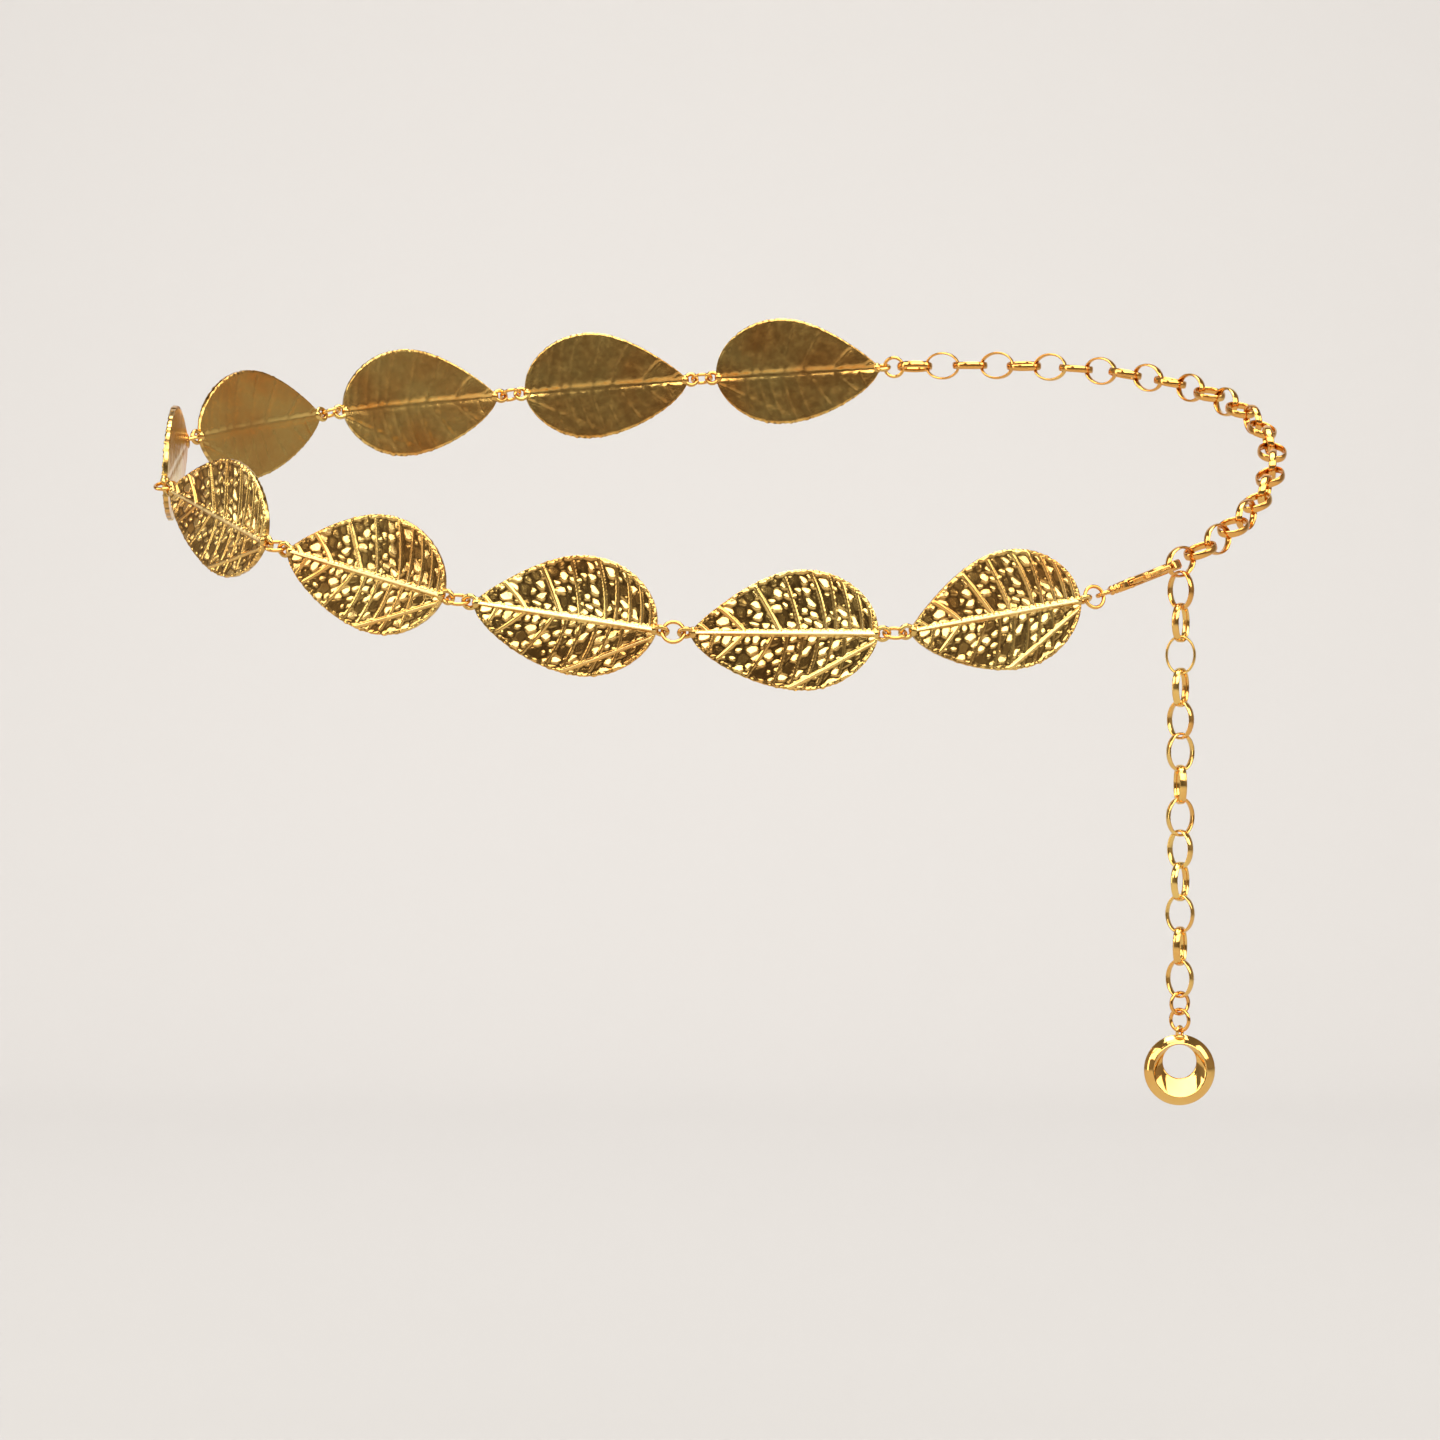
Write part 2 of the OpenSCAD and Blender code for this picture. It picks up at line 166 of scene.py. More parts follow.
def roundSection(width, steps):
    angles = [2 * math.pi * j / steps for j in range(steps)]
    return [(width / 2 * math.cos(a), width / 2 * math.sin(a)) for a in angles]


def hoop(radius, wire, steps=56, sides=14):
    def centre(share):
        a = 2 * math.pi * share
        out = Vector((math.cos(a), math.sin(a), 0))
        return out * radius, out, Vector((0, 0, 1))
    return sweepLoop(centre, roundSection(wire, sides), steps)


def joinShapes(shapes):
    points, faces = [], []
    for matrix, (shapePoints, shapeFaces) in shapes:
        base = len(points)
        points += [matrix @ p for p in shapePoints]
        faces += [tuple(base + i for i in face) for face in shapeFaces]
    return points, faces


# Materials: one gold, with its own colour, wear and grain for each kind of piece
goldTones = {
    "deep": (0.20, 0.105, 0.028, 1), "body": (0.83, 0.56, 0.17, 1), "wornAndLit": (0.96, 0.74, 0.34, 1),
    "red": (0.76, 0.39, 0.10, 1),
}
# Heights between which the cast's dark hollows and painted shade end, its worn ridges and painted highlights begin
# and the brush dulls them
reliefRange = {"deep": (0.0, 0.34), "wornAndLit": (0.62, 0.95), "brushed": (0.6, 0.9), "brushedRough": 0.16}
# Patch is how fine the colour drifts, polish the least and most roughness, grain how fine the skin is and its
# depth in millimetres, warm how far the colour leans to red, hammer how deep the soft waves are in millimetres
goldFinishes = {
    "castLeafGold": {"patch": 60, "polish": (0.10, 0.24), "grain": (2600, 0.03), "warm": 0, "hammer": 0},
    "brightRingGold": {"patch": 90, "polish": (0.07, 0.18), "grain": (1500, 0.012), "warm": 0.2, "hammer": 0},
    "polishedLinkGold": {"patch": 70, "polish": (0.08, 0.2), "grain": (900, 0.03), "warm": 0.03, "hammer": 0.05},
    "warmLinkGold": {"patch": 70, "polish": (0.08, 0.2), "grain": (900, 0.03), "warm": 0.2, "hammer": 0.05},
    # The clasp's colour leans further to red as a painted reflection of warm surroundings
    "claspGold": {"patch": 120, "polish": (0.1, 0.24), "grain": (1800, 0.02), "warm": 0.28, "hammer": 0.03},
    "mirrorDropGold": {"patch": 50, "polish": (0.05, 0.14), "grain": (900, 0.01), "warm": 0, "hammer": 0},
}
# How the colour drift spreads, how fine the handling marks are, and how strongly grain and waves show
goldHabits = {
    "redTo": 0.35, "bodyFrom": 0.62, "marksFiner": 7, "marksRange": (0.35, 0.7), "marksRough": 0.7,
    "grainShows": 0.5, "waveWider": 0.3, "waveSoft": 0.6, "waveShows": 0.6,
}


def rangeNode(nodes, low, high):
    ramp = nodes.new("ShaderNodeMapRange")
    ramp.inputs["From Min"].default_value = low
    ramp.inputs["From Max"].default_value = high
    return ramp


def noiseNode(nodes, scale, detail):
    cloud = nodes.new("ShaderNodeTexNoise")
    cloud.inputs["Scale"].default_value = scale
    cloud.inputs["Detail"].default_value = detail
    return cloud


def makeGold(name, relief):
    finish = goldFinishes[name]
    material = bpy.data.materials.new(name)
    material.use_nodes = True
    nodes, links = material.node_tree.nodes, material.node_tree.links
    shader = nodes["Principled BSDF"]
    shader.inputs["Metallic"].default_value = 1.0
    place = nodes.new("ShaderNodeTexCoord")

    # Plating colour drifts between yellow and a redder gold
    drift = noiseNode(nodes, finish["patch"], 5)
    links.new(place.outputs["Object"], drift.inputs["Vector"])
    tint = nodes.new("ShaderNodeValToRGB")
    tint.color_ramp.elements[0].position = goldHabits["redTo"] + finish["warm"]
    tint.color_ramp.elements[0].color = goldTones["red"]
    tint.color_ramp.elements[1].position = goldHabits["bodyFrom"] + finish["warm"]
    tint.color_ramp.elements[1].color = goldTones["body"]
    links.new(drift.outputs["Fac"], tint.inputs["Fac"])
    colour = tint.outputs["Color"]
    if relief:
        # The hollows of the cast are darker and its ridges are rubbed bright; the same colour also holds painted
        # highlights on the lit pads and the midrib's upper side, and painted shade on the dark pads and the
        # midrib's lower side
        height = nodes.new("ShaderNodeVertexColor")
        height.layer_name = "relief"
        for tone in ("deep", "wornAndLit"):
            ramp = rangeNode(nodes, *reliefRange[tone])
            links.new(height.outputs["Color"], ramp.inputs["Value"])
            mix = nodes.new("ShaderNodeMix")
            mix.data_type = "RGBA"
            lowSide, highSide = mix.inputs[6], mix.inputs[7]
            (lowSide if tone == "deep" else highSide).default_value = goldTones[tone]
            links.new(colour, highSide if tone == "deep" else lowSide)
            links.new(ramp.outputs["Result"], mix.inputs[0])
            colour = mix.outputs[2]
    links.new(colour, shader.inputs["Base Color"])

    # Handling marks make the polish uneven
    marks = noiseNode(nodes, finish["patch"] * goldHabits["marksFiner"], 8)
    marks.inputs["Roughness"].default_value = goldHabits["marksRough"]
    links.new(place.outputs["Object"], marks.inputs["Vector"])
    polish = rangeNode(nodes, *goldHabits["marksRange"])
    polish.inputs["To Min"].default_value, polish.inputs["To Max"].default_value = finish["polish"]
    links.new(marks.outputs["Fac"], polish.inputs["Value"])
    rough = polish.outputs["Result"]
    if relief:
        # Worn ridges, and the places with painted highlights, are brushed dull and take light from all round
        brushed = rangeNode(nodes, *reliefRange["brushed"])
        brushed.inputs["To Max"].default_value = reliefRange["brushedRough"]
        links.new(height.outputs["Color"], brushed.inputs["Value"])
        total = nodes.new("ShaderNodeMath")
        links.new(rough, total.inputs[0])
        links.new(brushed.outputs["Result"], total.inputs[1])
        rough = total.outputs[0]
    links.new(rough, shader.inputs["Roughness"])

    # Fine grain of the cast skin, with a soft hammered waviness under it
    grainScale, grainDepth = finish["grain"]
    grain = noiseNode(nodes, grainScale, 3)
    links.new(place.outputs["Object"], grain.inputs["Vector"])
    fine = nodes.new("ShaderNodeBump")
    fine.inputs["Strength"].default_value = goldHabits["grainShows"]
    fine.inputs["Distance"].default_value = grainDepth * mm
    links.new(grain.outputs["Fac"], fine.inputs["Height"])
    if finish["hammer"] > 0:
        wave = nodes.new("ShaderNodeTexVoronoi")
        wave.feature = "SMOOTH_F1"
        wave.inputs["Scale"].default_value = grainScale * goldHabits["waveWider"]
        wave.inputs["Smoothness"].default_value = goldHabits["waveSoft"]
        links.new(place.outputs["Object"], wave.inputs["Vector"])
        dent = nodes.new("ShaderNodeBump")
        dent.inputs["Strength"].default_value = goldHabits["waveShows"]
        dent.inputs["Distance"].default_value = finish["hammer"] * mm
        links.new(wave.outputs["Distance"], dent.inputs["Height"])
        links.new(dent.outputs["Normal"], fine.inputs["Normal"])
    links.new(fine.outputs["Normal"], shader.inputs["Normal"])
    return material


golds = {name: makeGold(name, relief=name == "castLeafGold") for name in goldFinishes}
print("gold materials made")

# The cast leaf, all ten from one mould: tip at the origin of x, base at its length, -Y outwards
leaf = {
    "count": 10, "length": 50.5, "width": 32.4, "plate": 1.3, "upperShare": 0.525, "tipPower": 1.357,
    "upperFull": (0.61, 0.45), "lowerFull": (0.43, 0.55), "lean": 2.5, "thinFrom": 6,
    "lengthSteps": 220, "widthSteps": 116, "backSteps": 34, "outlineSteps": 1200,
    "eyeWire": 1.1, "eyeHole": 2.15, "eyeClear": 0.1, "eyeSwell": 0.1,
    "lugAt": 0.75, "lugOut": 0.15, "lugLong": 1.25, "lugDeep": (1.3, 1.35), "lugHigh": 1.65, "lugTone": 0.26,
}
eyeRadius = (leaf["eyeHole"] + leaf["eyeWire"]) / 2
eyeOut = leaf["eyeHole"] / 2 + leaf["eyeClear"]
leafSpan = leaf["length"] + 2 * eyeOut
leafStride = leafSpan + 2 * eyeRadius

# Side veins: half, share of the length where it leaves the rib, share where it ends, how far to the rim, bow
veinRows = [
    ("upper", 0.09, 0.045, 1.0, 0.2), ("upper", 0.285, 0.150, 1.0, 0.9), ("upper", 0.476, 0.335, 1.0, 0.5),
    ("upper", 0.585, 0.490, 1.0, 0.7), ("upper", 0.722, 0.635, 1.0, 1.6), ("upper", 0.775, 0.735, 0.97, 0.9),
    ("upper", 0.85, 0.80, 0.97, 1.1), ("upper", 0.915, 0.875, 0.97, 1.0), ("upper", 0.962, 0.945, 0.9, 0.6),
    ("lower", 0.130, 0.085, 1.0, 0.3), ("lower", 0.284, 0.133, 1.0, 0.4), ("lower", 0.44, 0.296, 1.0, 0.6),
    ("lower", 0.512, 0.43, 1.0, 1.6), ("lower", 0.598, 0.52, 1.0, 1.2), ("lower", 0.68, 0.60, 0.96, 1.4),
    ("lower", 0.75, 0.675, 0.92, 1.2), ("lower", 0.818, 0.79, 0.86, 0.9),
]
# One long slanting vein runs under the others, from the base towards the lower rim: share of length, height
slantVein = [
    (0.975, -2.4), (0.90, -4.4), (0.815, -6.8), (0.72, -9.5), (0.646, -11.4), (0.575, -13.3), (0.52, -14.7),
]
# Strength is 1 for a vein of full height; a side vein fades by its share of fade towards the rim
veins = {
    "raise": 0.55, "width": 0.95, "upper": 1.05, "lower": 0.6, "slant": 0.95, "fade": 0.5, "startOff": 0.4,
    "rimShort": 0.3, "steps": 60, "slantSteps": 20, "round": 0.7, "swell": (0.8, 0.3), "wornAndLit": (0.2, 1.1),
    "groove": 0.7, "grooveWorn": 0.3,
}


def halfShare(t, full):
    # Share of the full width; full gives how blunt the tip half and the base half are
    m = t ** leaf["tipPower"]
    return max(math.sin(math.pi * m), 0.0) ** full[0 if m < 0.5 else 1]


def halfWidth(t, upper):
    if upper:
        return leaf["width"] * leaf["upperShare"] * halfShare(t, leaf["upperFull"])
    return leaf["width"] * (1 - leaf["upperShare"]) * halfShare(t, leaf["lowerFull"])


def treeOf(samples):
    tree = kdtree.KDTree(len(samples))
    for i, sample in enumerate(samples):
        tree.insert((sample[0], sample[1], 0), i)
    tree.balance()
    return tree


def veinSamples():
    # Points along the middle of each vein, with its strength there
    samples = []
    for half, start, end, reachShare, bow in veinRows:
        upper = half == "upper"
        sign = 1 if upper else -1
        x0, y0 = leaf["length"] * start, veins["startOff"] * sign
        x1, y1 = leaf["length"] * end, sign * (halfWidth(end, upper) * reachShare - veins["rimShort"])
        # The bow swings the middle of the vein to the base, so that it leaves steeply and bends to the tip
        cx, cy = (x0 + x1) / 2 + bow, (y0 + y1) / 2
        for i in range(veins["steps"]):
            s = i / (veins["steps"] - 1)
            x = (1 - s) ** 2 * x0 + 2 * s * (1 - s) * cx + s * s * x1
            y = (1 - s) ** 2 * y0 + 2 * s * (1 - s) * cy + s * s * y1
            samples.append((x, y, veins[half] * (1 - veins["fade"] * s)))
    for (ta, ya), (tb, yb) in zip(slantVein, slantVein[1:]):
        for i in range(veins["slantSteps"]):
            s = i / veins["slantSteps"]
            samples.append((leaf["length"] * (ta + s * (tb - ta)), ya + s * (yb - ya), veins["slant"]))
    return samples


outlineSamples = []
for i in range(leaf["outlineSteps"] + 1):
    t = (1 - math.cos(math.pi * i / leaf["outlineSteps"])) / 2
    outlineSamples.append((leaf["length"] * t, halfWidth(t, True)))
    outlineSamples.append((leaf["length"] * t, -halfWidth(t, False)))
rimTree = treeOf(outlineSamples)
veinPlaces = veinSamples()
veinTree = treeOf(veinPlaces)


# Polished pads in rows along the side veins: size, how far each shifts in its row, share that looks well up,
# slopes, and how wide the dark border is. The painted highlight of the lit pads and the painted shade of the dark
# ones are pairs: at the border, and how much more in the middle
pads = {
    "long": 2.75, "wide": 2.45, "shift": 0.62, "litUpper": 0.7, "litLower": 0.62, "raise": 0.14, "cap": 0.32,
    "lookUp": 0.27, "lookUpVary": (0.75, 0.5), "lookSide": 0.14, "darkLook": (-0.04, 0.13), "darkRaise": 0.08,
    "border": 0.08, "borderVary": 0.5, "shoulder": 0.28, "litPadHighlight": (0.1, 0.65), "darkPadShade": (0.12, 0.24),
    "slope": 48, "steepens": 30, "bend": 0.6, "bendGrain": 0.3,
    "ripple": 0.07, "rippleGrain": (0.7, 2.2), "rippleFade": 0.8, "rippleWorn": 0.2, "rippleWornFade": 0.7,
}


def padAt(u, v, half):
    # Middle of the nearest pad in the scattered lattice, and how far the border to its neighbour is
    found = []
    for j in range(math.floor(v) - 1, math.floor(v) + 2):
        for i in range(math.floor(u) - 2, math.floor(u) + 2):
            su = i + 0.5 * (j % 2) + 0.5 + pads["shift"] * (scatter(i, j, half) - 0.5)
            sv = j + 0.5 + pads["shift"] * (scatter(i, j, half + 5) - 0.5)
            found.append((math.hypot((u - su) * pads["long"], (v - sv) * pads["wide"]), su, sv))
    found.sort()
    return found[0][1], found[0][2], (found[1][0] - found[0][0]) / 2


def padRelief(x, y):
    # The rows follow the side veins, which stand steeper towards the base
    bendX = pads["bend"] * skinNoise(x, y, pads["bendGrain"], "bendX")
    bendY = pads["bend"] * skinNoise(x, y, pads["bendGrain"], "bendY")
    steep = math.radians(pads["slope"] + pads["steepens"] * x / leaf["length"]) * (1 if y < 0 else -1)
    along = (x + bendX) * math.cos(steep) + (y + bendY) * math.sin(steep)
    across = (y + bendY) * math.cos(steep) - (x + bendX) * math.sin(steep)
    u, v = along / pads["long"], across / pads["wide"]
    su, sv, gap = padAt(u, v, 1 if y > 0 else 2)
    offLong, offWide = (u - su) * pads["long"], (v - sv) * pads["wide"]
    offX = offLong * math.cos(steep) - offWide * math.sin(steep)
    offY = offLong * math.sin(steep) + offWide * math.cos(steep)
    # Most pads look well up, each with one even slope; the rest lie nearly flat and stay dark
    inside = smoothStep((gap - pads["border"] - pads["borderVary"] * scatter(su, sv, 4) ** 2) / pads["shoulder"])
    lookSide = pads["lookSide"] * (2 * scatter(su, sv, 2) - 1)
    if scatter(su, sv, 1) < pads["litUpper" if y > 0 else "litLower"]:
        least, more = pads["lookUpVary"]
        lookUp = pads["lookUp"] * (least + more * scatter(su, sv, 5))
        tilt = offX * lookSide - offY * lookUp
        height = inside * (pads["raise"] + max(-pads["cap"], min(pads["cap"], tilt)))
        # Painted highlight: a pad that looks up to the lamps is painted lighter, most in its middle
        atBorder, inMiddle = pads["litPadHighlight"]
        wornAndLit = atBorder + inMiddle * inside ** 2
    else:
        lookLow, lookMore = pads["darkLook"]
        lookUp = lookMore * scatter(su, sv, 5) + lookLow
        height = inside * (pads["darkRaise"] * scatter(su, sv, 3) + offX * lookSide - offY * lookUp)
        # Painted shade: a flat pad is painted dark, with a little random variation in its middle
        atBorder, inMiddle = pads["darkPadShade"]
        wornAndLit = atBorder + inMiddle * inside * scatter(su, sv, 6)
    # Fine ripples of the cast skin between them
    grainAlong, grainAcross = pads["rippleGrain"]
    ripple = skinNoise(along * grainAlong, across * grainAcross, 1, "ripple")
    height += (1 - pads["rippleFade"] * inside) * pads["ripple"] * ripple
    wornAndLit += (1 - pads["rippleWornFade"] * inside) * pads["rippleWorn"] * ripple
    return height, wornAndLit


def veinRelief(x, y, height, wornAndLit):
    # A round ridge in a clear groove
    _, index, away = veinTree.find((x, y, 0))
    strength = veinPlaces[index][2]
    away /= veins["width"] / 2 * (veins["swell"][0] + veins["swell"][1] * strength)
    if away < 1 + veins["groove"]:
        ridge = veins["raise"] * strength * max(0.0, 1 - away ** 2) ** veins["round"]
        clear = smoothStep((away - 1) / veins["groove"])
        height = max(height * clear, ridge)
        dulled = veins["grooveWorn"] + (1 - veins["grooveWorn"]) * clear
        least, more = veins["wornAndLit"]
        wornAndLit = max(wornAndLit * dulled, (least + more * ridge) * (1 - clear))
    return height, wornAndLit


# The rim is broken by nicks and swellings. Nicks come where the noise is over nickOver, for the tip's part and
# the base's part of the length, so there are more of them towards the tip
rim = {
    "raise": 0.45, "width": 1.05, "bead": 0.7, "beadVary": 1.0, "beadGrain": 0.9, "nickGrain": 1.3,
    "baseFrom": 0.45, "nickOver": (-0.14, 0.06), "nickLeft": 0.1, "lowerBead": (0.3, 0.4),
    "innerWorn": 0.16, "innerLeft": 0.2, "outerWorn": (0.1, 1.3), "outerFrom": 0.35, "outerOver": 0.5,
}


def rimRelief(x, y, height, wornAndLit):
    off = rimTree.find((x, y, 0))[2]
    if off >= rim["width"]:
        return height, wornAndLit
    half = rim["width"] / 2
    bead = rim["bead"] + rim["beadVary"] * skinNoise(x, y, rim["beadGrain"], "bead")
    often = rim["nickOver"][1 if x > rim["baseFrom"] * leaf["length"] else 0]
    if skinNoise(x, y, rim["nickGrain"], "nick") > often:
        bead *= rim["nickLeft"]
    if y < 0:
        bead *= rim["lowerBead"][0] + rim["lowerBead"][1] * x / leaf["length"]
    bar = rim["raise"] * bead * math.sqrt(max(0.0, 1 - ((off - half) / half) ** 2))
    outer = 1 - smoothStep((off - rim["outerFrom"] * rim["width"]) / (rim["outerOver"] * rim["width"]))
    least, more = rim["outerWorn"]
    height = max(height * smoothStep(off / rim["width"]), bar)
    rubbed = rim["innerWorn"] + (least + more * bar) * outer
    wornAndLit = max(wornAndLit * smoothStep(off / rim["width"] + rim["innerLeft"]), rubbed)
    return height, wornAndLit


# The midrib is a bar whose crest lies low, so that its broad side looks up; its upper edge is toothed. Its colour
# is painted lighter above the crest as a painted highlight and darker below it as painted shade
rib = {
    "raise": 0.8, "width": 2.1, "tipHalf": 0.28, "baseMore": 0.18, "crest": 0.3, "teeth": (0.5, 0.35),
    "teethGrain": (2.3, 4.6), "teethOut": 1.6, "tipAt": 0.3, "baseShort": 0.1,
    "profile": (1.7, 0.8), "ribTopHighlight": (0.55, 0.5), "ribUnderShade": 0.27, "crestSoft": 0.12,
}


def ribRelief(x, y, height, wornAndLit):
    half = rib["width"] * (rib["tipHalf"] + rib["baseMore"] * (x / leaf["length"]))
    teeth = rib["teeth"][0] * max(0.0, edgeNoise(x, rib["teethGrain"][0], "teeth"))
    teeth += rib["teeth"][1] * max(0.0, edgeNoise(x, rib["teethGrain"][1], "fineTeeth"))
    crest = -rib["crest"] * half
    reach = half * (1 + rib["teethOut"] * teeth) - crest if y > crest else half + crest
    if abs(y - crest) < reach and rib["tipAt"] < x < leaf["length"] - rib["baseShort"]:
        flank, top = rib["profile"]
        bar = rib["raise"] * (1 - (abs(y - crest) / reach) ** flank) ** top
        if bar > height:
            least, more = rib["ribTopHighlight"]
            height = bar
            # Painted highlight above the crest, painted shade below it
            wornAndLit = least + more * bar if y > crest - rib["crestSoft"] else rib["ribUnderShade"]
    return height, wornAndLit


def reliefAt(x, y):
    # Height of the cast above the plate, in millimetres, and how worn it is there, with its painted highlights and
    # painted shade
    height, wornAndLit = padRelief(x, y)
    height, wornAndLit = veinRelief(x, y, height, wornAndLit)
    height, wornAndLit = rimRelief(x, y, height, wornAndLit)
    return ribRelief(x, y, height, wornAndLit)


# The hollow side is smooth, with the midrib and the veins pressed faintly into it: depth and half width of each
hollow = {"rib": (0.22, 0.9), "vein": (0.1, 0.6), "wave": (0.05, 0.5), "fineWave": (0.02, 1.7), "tone": 0.5}


def backDip(x, y):
    ribDeep, ribHalf = hollow["rib"]
    veinDeep, veinHalf = hollow["vein"]
    ribDip = ribDeep * math.exp(-(y / ribHalf) ** 2)
    veinDip = veinDeep * math.exp(-(veinTree.find((x, y, 0))[2] / veinHalf) ** 2)
    skin = 0.0
    for layer in ("wave", "fineWave"):
        deep, grain = hollow[layer]
        skin += deep * skinNoise(x, y, grain, layer)
    return max(ribDip, veinDip) + skin


# The edge is a little lumpy, more so below, with a lip and rubbed places along it; depths are millimetres
edge = {
    "lumpy": (0.016, 0.022), "lumpGrain": (0.9, 0.8), "ease": 0.25, "easeSteps": (0.08, 0.3), "lip": 0.35,
    "lipVary": 0.45, "lipLeast": 0.1, "lipGrain": 1.7, "rubbed": 0.22, "rubbedVary": 0.7, "rubbedGrain": 1.1,
    "crowd": (0.55, 0.45), "crowdAcross": (0.12, 0.88), "backFade": 6,
}


def lipAt(x, layer):
    return max(edge["lipLeast"], edge["lip"] + edge["lipVary"] * edgeNoise(x, edge["lipGrain"], layer))


def leafPlate():
    rows, columns = leaf["lengthSteps"], leaf["widthSteps"]
    points, tones, faces = [], [], []
    front, back = -leaf["plate"] / 2, leaf["plate"] / 2
    nearBack, overEdge = edge["easeSteps"]
    # Rows stand closer at both ends, and columns a little closer at both edges
    (crowded, even), (crowdedAcross, evenAcross) = edge["crowd"], edge["crowdAcross"]
    for i in range(rows + 1):
        u = i / rows
        t = crowded * (1 - math.cos(math.pi * u)) / 2 + even * u
        x = leaf["length"] * t
        up = halfWidth(t, True) * (1 + edge["lumpy"][0] * edgeNoise(x, edge["lumpGrain"][0], "upperLump"))
        down = halfWidth(t, False) * (1 + edge["lumpy"][1] * edgeNoise(x, edge["lumpGrain"][1], "lowerLump"))
        squeeze = min(1.0, (up + down) / leaf["thinFrom"])
        ease = edge["ease"] * squeeze
        for j in range(columns + 1):
            s = -math.cos(math.pi * j / columns) * crowdedAcross + (2 * j / columns - 1) * evenAcross
            y = s * up if s > 0 else s * down
            height, wornAndLit = reliefAt(x, y)
            points.append(Vector((x, front - height * squeeze, y)))
            tones.append(min(1.0, max(0.0, wornAndLit)))
        rubbed = edge["rubbed"] + edge["rubbedVary"] * edgeNoise(x, edge["rubbedGrain"], "rubbed")
        rubbed = min(1.0, max(0.0, rubbed))
        sideSteps = [(back - overEdge, 0), (back - nearBack, ease * 0.3), (back, ease)]
        for depth, inset in [(front + lipAt(x, "upperLip"), 0)] + sideSteps:
            points.append(Vector((x, depth, up - inset)))
            tones.append(rubbed)
        for j in range(1, leaf["backSteps"]):
            s = 1 - 2 * j / leaf["backSteps"]
            y = s * (up - ease) if s > 0 else s * (down - ease)
            dip = backDip(x, y) * squeeze * smoothStep((1 - abs(s)) * edge["backFade"])
            points.append(Vector((x, back - dip, y)))
            tones.append(hollow["tone"] - dip)
        for depth, inset in sideSteps[::-1] + [(front + lipAt(x, "lowerLip"), 0)]:
            points.append(Vector((x, depth, -down + inset)))
            tones.append(rubbed)
    around = len(points) // (rows + 1)
    for i in range(rows):
        a, b = i * around, (i + 1) * around
        for j in range(around):
            n = (j + 1) % around
            faces.append((a + j, b + j, b + n, a + n))
    # The first and last rows close to a point, so their doubles are welded
    welder = bmesh.new()
    marks = welder.verts.layers.float.new("tone")
    made = []
    for p, tone in zip(points, tones):
        v = welder.verts.new(p)
        v[marks] = tone
        made.append(v)
    for face in faces:
        welder.faces.new([made[i] for i in face])
    bmesh.ops.remove_doubles(welder, verts=welder.verts[:], dist=0.004)
    bmesh.ops.recalc_face_normals(welder, faces=welder.faces[:])
    welder.verts.index_update()
    points = [v.co.copy() for v in welder.verts]
    tones = [v[marks] for v in welder.verts]
    faces = [tuple(v.index for v in f.verts) for f in welder.faces]
    welder.free()
    return points, tones, faces


def lumpShape(long, deep, high):
    # A solid rounded lump, given by its half sizes; it is sorted because its order differs from run to run
    made = bmesh.new()
    bmesh.ops.create_uvsphere(made, u_segments=24, v_segments=14, radius=1)
    corners = sorted(made.verts, key=lambda v: tuple(v.co))
    rank = {v: i for i, v in enumerate(corners)}
    points = [Vector((v.co.z * long, v.co.y * deep, v.co.x * high)) for v in corners]
    faces = sorted(tuple(rank[v] for v in face.verts) for face in made.faces)
    made.free()
    return points, faces


platePoints, plateTones, plateFaces = leafPlate()
print("leaf relief made,", len(plateFaces), "faces each")

# Rings, and how far each piece's pull lies from a ring's middle
ring = {
    "wire": 1.05, "across": 6.9, "play": 0.17,
    "turns": [78, 25, 66, 22, 18, 12, 10, 22, 30, 24], "eyeFollow": 0.85, "lastAcross": 72,
}
ringRadius = (ring["across"] - ring["wire"]) / 2
ringPull = ringRadius - (ring["wire"] + leaf["eyeWire"]) / 2 - ring["play"]

# Clasp sizes that the stations need come first; the soft ones are fillets
clasp = {
    "reach": 25.4, "width": 10.6, "thick": 2.8, "wall": 1.8, "turn": -14, "hookPlay": 1.4, "hookBite": 0.55,
    "eyeWire": 1.3, "eyeHole": 2.2, "neck": 0.85, "neckIn": 0.8,
    "beadAt": 2.9, "beadWire": 1.2, "beadPitch": 1.5, "beadSink": 0.1, "beads": 2,
    "rootAt": 8.4, "rootRadius": 3.1, "pinUp": 1.5, "pinAlong": 0.4, "pin": 1.1, "pinHead": 0.12, "pinRoom": 0.05,
    "lever": 1.4, "gap": 0.15, "boss": 1.55, "bossClear": 2, "mouthBack": 1.7, "mouthBackRadius": 1.5,
    "gateFrom": 1.2, "gateShort": 0.4, "gripDeep": 0.09, "gripFine": 8.5, "gripHalf": 1.1,
    "hookRound": 0.75, "leverRound": 0.4, "pinRound": 0.2, "padRound": 0.45,
    "mouthSoft": 0.3, "gateSoft": 0.45, "slotSoft": 0.12, "neckSoft": 0.25, "rootSoft": 0.5, "beadSoft": 0.1,
    "heelSoft": 0.2, "endSoft": 0.35, "tabSoft": 0.35, "grid": 0.15,
}
claspEyeRadius = (clasp["eyeHole"] + clasp["eyeWire"]) / 2
claspRingPull = ringRadius - (ring["wire"] + clasp["eyeWire"]) / 2 - ring["play"]

# Oval links of flattened wire
link = {
    "length": 11.0, "width": 8.5, "thick": 0.8, "band": 2.1, "tailCount": 13, "beltCount": 28,
    "biteShare": 0.42, "ringBite": 0.6, "sway": 9, "swayStep": 137,
    "sectionSteps": 16, "steps": 60, "faceRound": 0.8, "sideRound": 1.15,
}
linkInside = link["length"] / 2 - link["thick"]
linkHalf = link["width"] / 2 - link["thick"]
linkCurve = linkHalf * linkHalf / linkInside
bite = link["band"] * link["biteShare"]


